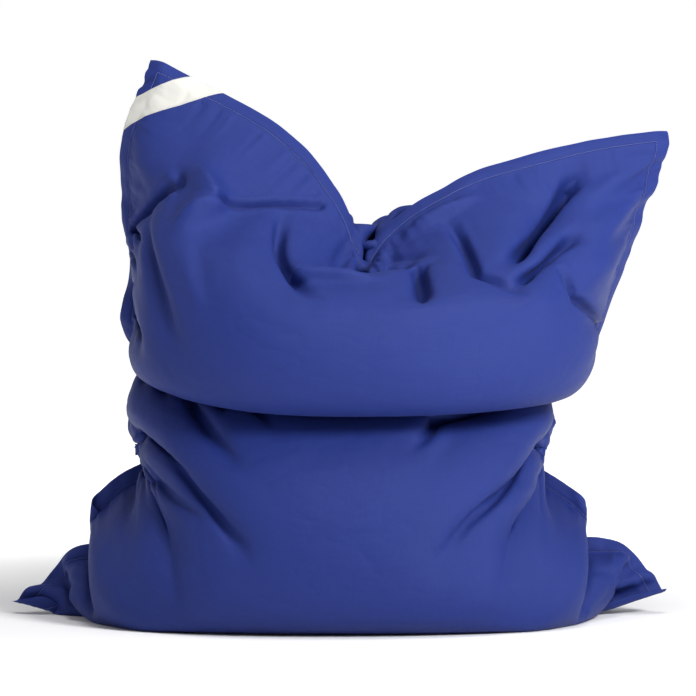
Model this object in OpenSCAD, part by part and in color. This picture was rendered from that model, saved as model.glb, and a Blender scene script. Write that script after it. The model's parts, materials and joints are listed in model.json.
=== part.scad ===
// Giant cushion bean bag set up as a chair: a flat, flanged cover of two fabric panels, filled with
// loose beads, stood on its short edge and creased across the middle into a seat and a backrest.
// X runs to the right as seen from the front, Y to the back, Z up. The origin is on the floor,
// under the middle of the overall box. All sizes are in millimetres.

/* [Overall] */
// Width over the two corners that lie on the floor, flange included
corner_span = 1230; // [1000:10:1500]
// Depth from the front of the belly to the outside of the zip
base_depth = 740; // [560:10:900]
// Height of the tip of the left ear above the floor
left_ear_h = 1100; // [900:10:1400]
// Height of the tip of the right ear above the floor
right_ear_h = 965; // [830:5:1300]

/* [Seat half] */
// Width of the lower half at its fullest, seam to seam
belly_w = 920; // [760:10:1110]
// Height at which the sides of the lower half are fullest
belly_h = 175; // [140:5:215]
// Width of the pinched waist, seam to seam
waist_w = 750; // [620:10:900]
// Height of the pinched waist
waist_h = 355; // [290:5:430]
// Height of the crease where the backrest folds over the seat
crease_h = 440; // [370:5:530]
// Width at the crease, seam to seam
crease_w = 800; // [660:10:960]
// Depth at the crease
crease_depth = 560; // [460:10:680]

/* [Backrest half] */
// Distance of the left side seam from the middle, where the upper half is fullest
left_chest = 410; // [340:5:490]
// Distance of the right side seam from the middle, where the upper half is fullest
right_chest = 530; // [440:5:580]
// Depth of the upper half at its fullest
chest_depth = 600; // [500:10:720]
// Distance of the left ear tip from the middle
left_tip = 365; // [300:5:440]
// Distance of the right ear tip from the middle
right_tip = 612; // [500:2:736]
// Height of the valley between the ears
valley_h = 780; // [650:10:820]
// How far the valley lies to the right of the middle
valley_x = 45; // [0:5:120]
// How far the top seam leans back from the seam at the crease
ear_lean = 60; // [0:5:120]

/* [Cover] */
// Width of the flat flange outside the seam
flange_w = 30; // [15:1:50]
// Thickness of the coated fabric
fabric_t = 0.8; // [0.5:0.1:1.2]
// Distance of the topstitch outside the seam
stitch_out = 4; // [2:0.5:8]
// Width of the topstitch
stitch_w = 1.2; // [0.8:0.1:2]
// Thickness of the topstitch
stitch_t = 0.4; // [0.3:0.1:0.8]
// Width of the light band sewn across the left ear
band_w = 68; // [40:1:110]
// Distance from the left ear tip to the middle of the band
band_drop = 92; // [70:1:130]
// Slope of the band, rising to the right
band_deg = 24; // [10:1:40]
// Width of the care label
label_w = 38; // [20:1:60]
// Height of the care label
label_h = 45; // [20:1:55]
// Thickness of the care label
label_t = 0.4; // [0.3:0.1:0.8]

/* [Zip] */
// Length of the zip across the back
zip_len = 560; // [400:10:600]
// Height of the zip above the floor
zip_h = 122; // [105:1:140]
// Width of each zip tape
tape_w = 15; // [12:1:18]
// Thickness of each zip tape
tape_t = 0.6; // [0.5:0.1:0.8]
// Width of the closed coil, both halves together
coil_w = 7; // [6:0.5:9]
// Thickness of the coil
coil_t = 2.4; // [2:0.1:2.6]
// Gap between the two coil halves, which the slider's post runs in
coil_gap = 1.6; // [1.4:0.1:2]
// Opening between the edges of the back panels that shows the coil
slot_w = 16; // [15:0.5:22]
// Length of a zip stop
stop_l = 4; // [3:0.5:6]
// Length of the fabric tab sewn over each end of the zip
end_tab_l = 20; // [12:1:30]
// Length of the slider
slider_l = 15; // [13:0.5:20]
// Thickness of the slider's plates
plate_t = 1.1; // [0.8:0.1:1.3]
// Thickness of the slider's side walls
cheek_t = 1.2; // [0.8:0.1:1.6]
// Running clearance between the slider and the coil and tapes
run_gap = 0.35; // [0.3:0.05:0.5]
// Radius of the pin that the pull tab turns on
pin_r = 0.8; // [0.6:0.1:1]
// Radial clearance between that pin and the pull tab's eye
pin_gap = 0.06; // [0.03:0.01:0.1]
// Length of the pull tab from its pin
tab_l = 34; // [20:1:50]
// Width of the pull tab
tab_w = 8; // [6:0.5:12]
// Width of the pull tab's eye, between the slider's lugs
eye_w = 3.6; // [3:0.2:4]
// Thickness of the pull tab
tab_t = 1.6; // [1.2:0.1:2]

/* [Beads] */
// Space between the cover and the beads
fill_gap = 3.8; // [3.4:0.1:6]
// Half of the gap between the two bead masses at the crease
crease_air = 1.5; // [1:0.5:4]

/* [Recline] */
// How far the backrest half leans back
recline_deg = 20; // [5:1:24]
// How far behind the middle the recline axis lies
recline_back = 110; // [60:5:150]

/* [Hidden] */

cover_blue = [0.17, 0.21, 0.50];
thread_blue = [0.24, 0.29, 0.60];
band_white = [0.88, 0.88, 0.85];
zip_navy = [0.07, 0.09, 0.22];
zip_metal = [0.62, 0.63, 0.65];
bead_white = [0.97, 0.97, 0.95];

columns = 28;          // panel columns from side seam to side seam
rise_rows = 6;         // panel rows from the flat zone round the zip up to the crease
upper_rows = 13;       // panel rows from the crease to the top seam
layer_gap = 0.1;       // air between sewn layers, so that they stay separate solids
bead_rim = 1;          // half of the beads' thickness where they run out at a seam
seam_margin = 10;      // flat fabric kept above and below what is sewn on beside the zip
recline_room = 2;      // extra angle cut away behind the recline axis
far = 3000;            // longer than anything here, for cutting solids
$fn = 32;

// ---- the zip's layers, measured outwards from the face of the back panel ----

half_depth = base_depth / 2;
tape_front = -fabric_t - layer_gap;
tape_back = tape_front - tape_t;
coil_front = tape_front + coil_t;
plate_inner = coil_front + run_gap;
plate_outer = plate_inner + plate_t;
eye_wall = 0.85;
eye_r = pin_r + pin_gap + eye_wall;
pin_out = plate_outer + run_gap + eye_r;
lug_r = 1.7;
zip_proud = pin_out + lug_r;
back_face = half_depth - zip_proud;

// ---- outline of the filled bag ----

function mix(a, b, t) = a + (b - a) * t;
function ease(t) = (1 - cos(180 * t)) / 2;

// The second value of a table of [place, value] pairs, eased between the two pairs round a place
function along(table, place) =
    let (end = len(table) - 1)
    place >= table[end][0] ? table[end][1] :
    let (i = [for (j = [0 : end - 1]) if (place < table[j + 1][0]) j][0],
         t = (place - table[i][0]) / (table[i + 1][0] - table[i][0]))
    mix(table[i][1], table[i + 1][1], ease(t));

// The back is flat between these heights, for the zip and the care label
flat_low = zip_h - tape_w - label_h - seam_margin;
flat_high = zip_h + tape_w + seam_margin;
floor_side = corner_span / 2 - flange_w;

// Seat half: values by height
seat_side = [[0, floor_side], [belly_h * 0.45, mix(floor_side, belly_w / 2, 0.35)],
             [belly_h, belly_w / 2], [waist_h, waist_w / 2], [crease_h, crease_w / 2]];
seat_front = [[0, half_depth - 45], [flat_low, half_depth - 6], [flat_high, half_depth],
              [waist_h, mix(half_depth, crease_depth / 2, 0.6)], [crease_h, crease_depth / 2 - 20]];
seat_back = [[0, back_face - 35], [flat_low, back_face], [flat_high, back_face],
             [waist_h, mix(back_face, crease_depth / 2, 0.5)], [crease_h, crease_depth / 2 + 20]];

// Backrest half: values by the share of the way from the crease up to the top seam
left_side = [[0, crease_w / 2], [0.25, left_chest], [0.75, left_chest], [1, left_tip - flange_w]];
right_side = [[0, crease_w / 2], [0.3, right_chest * 0.95], [0.6, right_chest * 1.03],
              [1, right_tip - flange_w]];
rest_front = [[0, crease_depth / 2 - 20], [0.25, chest_depth / 2 + 40], [0.6, chest_depth * 0.38],
              [0.85, chest_depth * 0.18], [1, 0]];
rest_back = [[0, crease_depth / 2 + 20], [0.25, chest_depth / 2 - 40], [0.6, chest_depth * 0.3],
             [0.85, chest_depth * 0.14], [1, 0]];

// The top seam, from the left tip at u = -1 through the valley at u = 0 to the right tip at u = 1
left_sweep = 2;
right_sweep = 2.4;
function top_x(u) = u < 0 ? mix(valley_x, flange_w - left_tip, -u) : mix(valley_x, right_tip - flange_w, u);
function top_z(u) = (u < 0 ? mix(left_ear_h, valley_h, pow(1 + u, left_sweep))
                           : mix(right_ear_h, valley_h, pow(1 - u, right_sweep))) - flange_w;

// How full the bag is across its width: flat in the middle, closing at the side seams
function fullness(u, flat) =
    let (s = max(0, (abs(u) - flat) / (1 - flat)))
    pow(max(0, 1 - pow(s, 2.4)), 0.62);
front_flat = 0.2;
zip_flat = (zip_len / 2 + end_tab_l + seam_margin) / (belly_w / 2);
crown_flat = 0.15;

seat_rows = concat([0, flat_low * 0.2, flat_low * 0.55, flat_low, flat_high],
                   [for (i = [1 : rise_rows]) mix(flat_high, crease_h, i / rise_rows)]);
lower_rows = len(seat_rows) - 1;
rows_all = lower_rows + upper_rows;
function share(row) = max(0, (row - lower_rows) / upper_rows);
function seam_y(row) = ear_lean * ease(share(row));
function back_flat(row) = mix(zip_flat, crown_flat, ease(share(row)));
// Columns lie closer together towards the side seams
function u_of(i) = sin(90 * (2 * i / columns - 1));

// A point of the bag's skin: side is -1 at the front and 1 at the back, u runs from -1 at the left
// seam to 1 at the right seam, row from 0 at the floor to rows_all at the top seam. inset moves the
// point inwards.
function skin(side, u, row, inset) =
    row <= lower_rows
    ? let (z = seat_rows[row],
           half = along(seat_side, z) - inset,
           deep = along(side < 0 ? seat_front : seat_back, z) - inset)
      [u * half, side * deep * fullness(u, side < 0 ? front_flat : back_flat(row)), max(z, inset)]
    : let (v = share(row),
           half = along(u < 0 ? left_side : right_side, v) - inset,
           top = top_x(u) - inset * u,
           deep = max(0, along(side < 0 ? rest_front : rest_back, v) - inset))
      [mix(u * half, top, pow(v, 3)),
       seam_y(row) + side * deep * fullness(u, side < 0 ? front_flat : back_flat(row)),
       mix(crease_h, top_z(u) - inset, v)];

// ---- closed solids from grids of points ----

// A closed solid between two grids of the same shape, each a list of rows of points. outer_grid is
// seen from outside with its rows going up and its points going to the right.
module grid_solid(outer_grid, inner_grid) {
    rows = len(outer_grid);
    cols = len(outer_grid[0]);
    count = rows * cols;
    function at(r, c) = r * cols + c;
    faces = concat(
        [for (r = [0 : rows - 2], c = [0 : cols - 2]) [at(r, c), at(r + 1, c), at(r + 1, c + 1)]],
        [for (r = [0 : rows - 2], c = [0 : cols - 2]) [at(r, c), at(r + 1, c + 1), at(r, c + 1)]],
        [for (r = [0 : rows - 2], c = [0 : cols - 2])
            [count + at(r, c), count + at(r + 1, c + 1), count + at(r + 1, c)]],
        [for (r = [0 : rows - 2], c = [0 : cols - 2])
            [count + at(r, c), count + at(r, c + 1), count + at(r + 1, c + 1)]],
        [for (c = [0 : cols - 2]) [at(0, c), at(0, c + 1), count + at(0, c + 1)]],
        [for (c = [0 : cols - 2]) [at(0, c), count + at(0, c + 1), count + at(0, c)]],
        [for (c = [0 : cols - 2]) [at(rows - 1, c + 1), at(rows - 1, c), count + at(rows - 1, c)]],
        [for (c = [0 : cols - 2])
            [at(rows - 1, c + 1), count + at(rows - 1, c), count + at(rows - 1, c + 1)]],
        [for (r = [0 : rows - 2]) [at(r + 1, 0), at(r, 0), count + at(r, 0)]],
        [for (r = [0 : rows - 2]) [at(r + 1, 0), count + at(r, 0), count + at(r + 1, 0)]],
        [for (r = [0 : rows - 2])
            [at(r, cols - 1), at(r + 1, cols - 1), count + at(r + 1, cols - 1)]],
        [for (r = [0 : rows - 2])
            [at(r, cols - 1), count + at(r + 1, cols - 1), count + at(r, cols - 1)]]
    );
    polyhedron([for (row = outer_grid) each row, for (row = inner_grid) each row], faces);
}

function moved(grid, step) = [for (row = grid) [for (p = row) p + step]];
function flipped(grid) = [for (row = grid) [for (i = [len(row) - 1 : -1 : 0]) row[i]]];

// ---- the cover ----

// One row of a panel with its flanges: the skin between the side seams and a flat strip outside
// each. layer 0 is the outer face of the fabric and 1 its inner face.
function panel_row(side, row, layer) =
    let (inset = layer * fabric_t,
         seam = seam_y(row) + side * (layer_gap / 2 + (1 - layer) * fabric_t),
         points = [for (i = [0 : columns]) skin(side, u_of(i), row, inset)],
         left = skin(side, -1, row, 0) - [flange_w, 0, 0],
         right = skin(side, 1, row, 0) + [flange_w, 0, 0])
    [for (p = concat([left], points, [right]))
        [p.x, side < 0 ? min(p.y, seam) : max(p.y, seam), max(p.z, inset)]];

// A whole panel: from the bottom seam, under the bag, up to the top seam and its flange
function panel_grid(side, layer) =
    let (rows = [for (row = [0 : rows_all]) panel_row(side, row, layer)])
    concat([[for (p = rows[0]) [p.x, side * layer_gap / 2, p.z]]],
           rows,
           [[for (p = rows[rows_all]) p + [0, 0, flange_w]]]);

module front_panel() {
    color(cover_blue) grid_solid(panel_grid(-1, 0), panel_grid(-1, 1));
}

module whole_back_panel() {
    grid_solid(flipped(panel_grid(1, 0)), flipped(panel_grid(1, 1)));
}

// The opening for the zip, half of it in each back panel
module zip_slot() {
    translate([-zip_len / 2, back_face - seam_margin, zip_h - slot_w / 2])
        cube([zip_len, 2 * seam_margin, slot_w]);
}

// What is left of the back panel above or below the zip seam
module back_panel_part(low, high) {
    difference() {
        intersection() {
            whole_back_panel();
            translate([-far / 2, -far / 2, low]) cube([far, far, high - low]);
        }
        zip_slot();
    }
}

module back_panel() {
    color(cover_blue) back_panel_part(zip_h + layer_gap / 2, far);
}

module back_hem_panel() {
    color(cover_blue) back_panel_part(-1, zip_h - layer_gap / 2);
}

// The topstitch's line just outside the seam, up the left side, across the top and down the right
// side, with the outward direction at each of its points
side_lines = [for (row = [1 : rows_all]) [skin(-1, -1, row, 0), skin(-1, 1, row, 0)]];
top_line = [for (i = [0 : columns]) skin(-1, u_of(i), rows_all, 0)];
stitch_line = concat(
    [for (i = [0 : rows_all - 2]) [side_lines[i][0] - [stitch_out, 0, 0], [-1, 0, 0]]],
    [[top_line[0] + stitch_out * [-1, 0, 1], [-1, 0, 1]]],
    [for (i = [1 : columns - 1]) [top_line[i] + [0, 0, stitch_out], [0, 0, 1]]],
    [[top_line[columns] + stitch_out * [1, 0, 1], [1, 0, 1]]],
    [for (i = [rows_all - 2 : -1 : 0]) [side_lines[i][1] + [stitch_out, 0, 0], [1, 0, 0]]]);

module flange_topstitch() {
    face = -layer_gap / 2 - fabric_t - layer_gap;
    function ribbon(out) = [for (s = stitch_line)
        [s[0] + s[1] * stitch_w / 2 + [0, face - out, 0], s[0] - s[1] * stitch_w / 2 + [0, face - out, 0]]];
    color(thread_blue) grid_solid(ribbon(stitch_t), ribbon(0));
}

// A strip of fabric on the face of the front panel, between two slanted lines, from seam to seam
module corner_band() {
    first_row = lower_rows + floor(upper_rows / 2);
    face = [for (row = [first_row : rows_all])
        let (points = panel_row(-1, row, 0)) [for (i = [1 : columns + 1]) points[i]]];
    tip = [-left_tip, 0, left_ear_h];
    reach = 2.4 * band_drop;
    color(band_white) intersection() {
        grid_solid(moved(face, [0, -layer_gap - fabric_t, 0]), moved(face, [0, -layer_gap, 0]));
        translate(tip) rotate([0, -band_deg, 0])
            translate([-far / 2, -far / 2, -band_drop - band_w / 2]) cube([far, far, band_w]);
        translate(tip - [far / 2, far / 2, reach]) cube([far / 2 + reach, far, far]);
    }
}

module care_label() {
    low = zip_h - slot_w / 2 - seam_margin / 2 - label_h;
    color(band_white) translate([zip_len / 4, back_face + layer_gap, low]) cube([label_w, label_t, label_h]);
}

// ---- the zip, closed, with its slider at the right end ----

// Draws in the zip's own frame: X along the zip, Y outwards from the back panel, Z across the zip
module on_zip() {
    translate([0, back_face, zip_h]) children();
}

coil_l = zip_len - 2 * stop_l;
half_coil_w = (coil_w - coil_gap) / 2;
slider_stand_off = 0.5;
slider_x = coil_l / 2 - slider_l / 2 - slider_stand_off;
slider_half_w = coil_w / 2 + run_gap + cheek_t;
lug_t = 1;
lug_gap = 0.25;

module zip_tape(side) {
    color(zip_navy) on_zip()
        translate([-zip_len / 2, tape_back, side > 0 ? coil_gap / 2 : -coil_gap / 2 - tape_w])
            cube([zip_len, tape_t, tape_w]);
}

module zip_coil(side) {
    middle = side * (coil_gap + half_coil_w) / 2;
    round_r = coil_t / 2;
    color(zip_navy) on_zip() translate([-coil_l / 2, tape_front + round_r, middle])
        rotate([90, 0, 90]) linear_extrude(coil_l) {
            square([coil_t, half_coil_w - coil_t], center = true);
            for (end = [-1, 1]) translate([0, end * (half_coil_w / 2 - round_r)]) circle(round_r);
        }
}

module zip_stops() {
    stop_w = half_coil_w + 0.6;
    stop_t = coil_t + 0.2;
    color(zip_metal) on_zip() {
        for (side = [-1, 1])
            translate([coil_l / 2, tape_front, side * coil_gap / 2 - (side < 0 ? stop_w : 0)])
                cube([stop_l, stop_t, stop_w]);
        translate([-coil_l / 2 - stop_l, tape_front, -coil_gap / 2 - stop_w])
            cube([stop_l, stop_t, coil_gap + 2 * stop_w]);
    }
}

module zip_end_tabs() {
    tab_h = slot_w + seam_margin;
    color(cover_blue) on_zip() for (side = [-1, 1])
        translate([side * (zip_len + end_tab_l) / 2 - end_tab_l / 2, layer_gap, -tab_h / 2])
            cube([end_tab_l, fabric_t, tab_h]);
}

// A plate with round ends across the zip, its inner face at out
module slider_plate(out) {
    straight = slider_l - 2 * slider_half_w;
    translate([0, out + plate_t, 0]) rotate([90, 0, 0]) linear_extrude(plate_t) {
        square([straight, 2 * slider_half_w], center = true);
        for (end = [-1, 1]) translate([end * straight / 2, 0]) circle(slider_half_w);
    }
}

module zip_slider() {
    post_l = 3;
    post_gap = 0.3;
    post_w = coil_gap - 2 * post_gap;
    back_plate = tape_back - run_gap - plate_t;
    cheek_l = slider_l - 2 * slider_half_w + 2;
    lug_foot = plate_t / 2;
    color(zip_metal) on_zip() translate([slider_x, 0, 0]) {
        slider_plate(plate_inner);
        slider_plate(back_plate);
        translate([-post_l / 2, back_plate + plate_t / 2, -post_w / 2])
            cube([post_l, plate_inner - back_plate, post_w]);
        for (side = [-1, 1])
            translate([-cheek_l / 2, tape_front + run_gap, side * (slider_half_w - cheek_t / 2) - cheek_t / 2])
                cube([cheek_l, plate_inner - tape_front - run_gap + plate_t / 2, cheek_t]);
        for (side = [-1, 1]) translate([0, 0, side * (eye_w + lug_t) / 2 + side * lug_gap - lug_t / 2]) {
            translate([-lug_r, plate_outer - lug_foot, 0])
                cube([2 * lug_r, pin_out - plate_outer + lug_foot, lug_t]);
            translate([0, pin_out, 0]) cylinder(h = lug_t, r = lug_r);
        }
        translate([0, pin_out, 0]) cylinder(h = eye_w + 2 * lug_gap + lug_t, r = pin_r, center = true);
    }
}

// Lies flat along the closed zip, pointing away from the nearest zip end
module zip_pull_tab() {
    neck_l = 4;
    corner_r = 2;
    color(zip_metal) on_zip() translate([slider_x, pin_out, 0]) difference() {
        union() {
            cylinder(h = eye_w, r = eye_r, center = true);
            translate([-neck_l - 1, -tab_t / 2, -eye_w / 2]) cube([neck_l + 1, tab_t, eye_w]);
            translate([-tab_l, -tab_t / 2, -tab_w / 2 + corner_r])
                cube([tab_l - neck_l, tab_t, tab_w - 2 * corner_r]);
            translate([-tab_l + corner_r, -tab_t / 2, -tab_w / 2])
                cube([tab_l - neck_l - 2 * corner_r, tab_t, tab_w]);
            for (x = [-tab_l + corner_r, -neck_l - corner_r], z = [-1, 1])
                translate([x, 0, z * (tab_w / 2 - corner_r)]) rotate([90, 0, 0])
                    cylinder(h = tab_t, r = corner_r, center = true);
        }
        cylinder(h = 2 * eye_w, r = pin_r + pin_gap, center = true);
        translate([-tab_l + tab_w / 2, 0, 0]) rotate([90, 0, 0])
            cylinder(h = 2 * tab_t, r = tab_w / 4, center = true);
    }
}

// ---- the beads ----

// The beads between two rows. Where they run out at a seam they keep twice bead_rim of thickness,
// and their underside lies just above the fabric that the bag stands on.
module bead_mass(from, to) {
    inset = fabric_t + fill_gap + bead_rim;
    floor_lift = fabric_t + layer_gap;
    function bead(side, i, row) =
        let (p = skin(side, u_of(i), row, inset))
        [p.x, p.y + side * bead_rim, row == 0 ? floor_lift : p.z];
    function sheet(side) = [for (row = [from : to]) [for (i = [0 : columns]) bead(side, i, row)]];
    grid_solid(sheet(-1), sheet(1));
}

module seat_bead_fill() {
    color(bead_white) intersection() {
        bead_mass(0, lower_rows);
        translate([-far / 2, -far / 2, 0]) cube([far, far, crease_h - crease_air]);
    }
}

// What lies under the plane that the backrest half leans back onto
module recline_room_cut() {
    translate([0, recline_back, crease_h]) rotate([recline_deg + recline_room, 0, 0])
        translate([-far / 2, 0, -far]) cube([far, far, far]);
}

// The last row below the top seam is too flat to hold beads
module backrest_bead_fill() {
    color(bead_white) difference() {
        bead_mass(lower_rows, rows_all - 1);
        translate([-far / 2, -far / 2, -far]) cube([far, far, far + crease_h + crease_air]);
        recline_room_cut();
    }
}

seat_bead_fill();
backrest_bead_fill();
front_panel();
back_panel();
back_hem_panel();
flange_topstitch();
corner_band();
care_label();
zip_tape(1);  // zip_tape_upper
zip_tape(-1);  // zip_tape_lower
zip_coil(1);  // zip_coil_upper
zip_coil(-1);  // zip_coil_lower
zip_stops();
zip_end_tabs();
zip_slider();
zip_pull_tab();
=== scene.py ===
"""The looks of a giant cushion bean bag stood up as a chair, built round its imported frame."""

from __future__ import annotations

import json
import logging
import math
from dataclasses import dataclass, field, replace
from enum import Enum
from typing import Any, Mapping, Sequence, Union

import bmesh
import bpy
import numpy as np
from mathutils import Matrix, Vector
from mathutils.bvhtree import BVHTree

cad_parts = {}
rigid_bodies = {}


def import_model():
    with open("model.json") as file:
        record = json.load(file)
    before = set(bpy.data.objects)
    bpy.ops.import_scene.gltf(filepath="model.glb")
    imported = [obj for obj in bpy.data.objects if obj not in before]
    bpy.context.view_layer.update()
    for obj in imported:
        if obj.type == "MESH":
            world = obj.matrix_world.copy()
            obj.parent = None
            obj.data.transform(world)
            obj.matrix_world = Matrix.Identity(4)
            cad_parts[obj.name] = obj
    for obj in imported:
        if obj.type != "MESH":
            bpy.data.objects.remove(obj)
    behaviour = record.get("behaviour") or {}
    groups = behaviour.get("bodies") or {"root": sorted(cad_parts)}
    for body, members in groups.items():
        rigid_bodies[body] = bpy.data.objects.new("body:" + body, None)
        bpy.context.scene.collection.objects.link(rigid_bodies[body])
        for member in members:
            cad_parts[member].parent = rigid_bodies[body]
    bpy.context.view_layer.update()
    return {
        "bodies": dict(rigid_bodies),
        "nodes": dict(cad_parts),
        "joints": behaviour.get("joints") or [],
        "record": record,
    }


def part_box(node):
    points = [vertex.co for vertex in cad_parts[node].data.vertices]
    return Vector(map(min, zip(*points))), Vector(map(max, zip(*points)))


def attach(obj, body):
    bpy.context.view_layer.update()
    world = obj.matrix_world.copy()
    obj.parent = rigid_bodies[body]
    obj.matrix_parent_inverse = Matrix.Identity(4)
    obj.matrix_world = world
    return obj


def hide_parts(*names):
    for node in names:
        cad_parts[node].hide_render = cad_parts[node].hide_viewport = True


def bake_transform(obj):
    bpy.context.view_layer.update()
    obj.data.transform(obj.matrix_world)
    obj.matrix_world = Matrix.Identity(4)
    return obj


log = logging.getLogger("bean_bag")

Grid = np.ndarray  # points on a rectangular grid, shaped (..., rows, columns, 3)
Piece = bpy.types.Object
Colour = tuple[float, float, float, float]
Number = Union[float, "Value"]


class Side(Enum):
    """Which sheet of the cover."""

    FRONT = 0
    BACK = 1


class Body(Enum):
    """The bodies that the sewn pieces and the coils ride on."""

    SEAT = "seat"
    BACKREST = "backrest"


# ---- small helpers for grids of points ----


def smooth_step(value: Any, low: float, high: float) -> Any:
    """Returns 0 below low, 1 above high and an eased value between."""
    t = np.clip((value - low) / (high - low), 0.0, 1.0)
    return t * t * (3.0 - 2.0 * t)


def blend(a: Any, b: Any, t: Any) -> Any:
    """Returns the value a share t of the way from a to b."""
    return a + (b - a) * t


def resampling(count_from: int, count_to: int) -> np.ndarray:
    """Makes the matrix that resamples evenly spaced values with a Catmull-Rom spline.

    Args:
        count_from: How many values there are.
        count_to: How many values are wanted over the same span.

    Returns:
        A matrix of count_to rows and count_from columns.
    """
    matrix = np.zeros((count_to, count_from))
    for row, place in enumerate(np.linspace(0.0, count_from - 1.0, count_to)):
        left = min(int(place), count_from - 2)
        t = place - left
        weights = (
            -0.5 * t + t * t - 0.5 * t**3,
            1.0 - 2.5 * t * t + 1.5 * t**3,
            0.5 * t + 2.0 * t * t - 1.5 * t**3,
            -0.5 * t * t + 0.5 * t**3,
        )
        for step, weight in enumerate(weights):
            column = left - 1 + step
            if column < 0:  # beyond the ends the values run on in a straight line
                matrix[row, 0] += 2.0 * weight
                matrix[row, 1] -= weight
            elif column >= count_from:
                matrix[row, -1] += 2.0 * weight
                matrix[row, -2] -= weight
            else:
                matrix[row, column] += weight
    return matrix


def resampled(grid: Grid, rows: int, columns: int) -> Grid:
    """Resamples a grid of points, or a stack of them, to a new count of rows and columns."""
    down = resampling(grid.shape[-3], rows)
    across = resampling(grid.shape[-2], columns)
    return np.einsum("rs,...sck,dc->...rdk", down, grid, across, optimize=True)


def smoothing(count: int, reach: float) -> np.ndarray:
    """Makes the matrix that averages evenly spaced values under a bell of the given reach in steps."""
    places = np.arange(count)
    bell = np.exp(-0.5 * ((places[:, None] - places[None, :]) / reach) ** 2)
    return bell / bell.sum(axis=1, keepdims=True)


# ---- the cover's cloth ----


@dataclass
class Seam:
    """A line that the cloth is led along: places on it by height on the flat cloth."""

    up: Sequence[float]
    x: Sequence[float]
    y: Sequence[float]
    z: Sequence[float]

    def at(self, up: np.ndarray) -> np.ndarray:
        """Returns the points of the line at the given heights on the flat cloth."""
        return np.stack([np.interp(up, self.up, axis) for axis in (self.x, self.y, self.z)], axis=-1)


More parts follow.
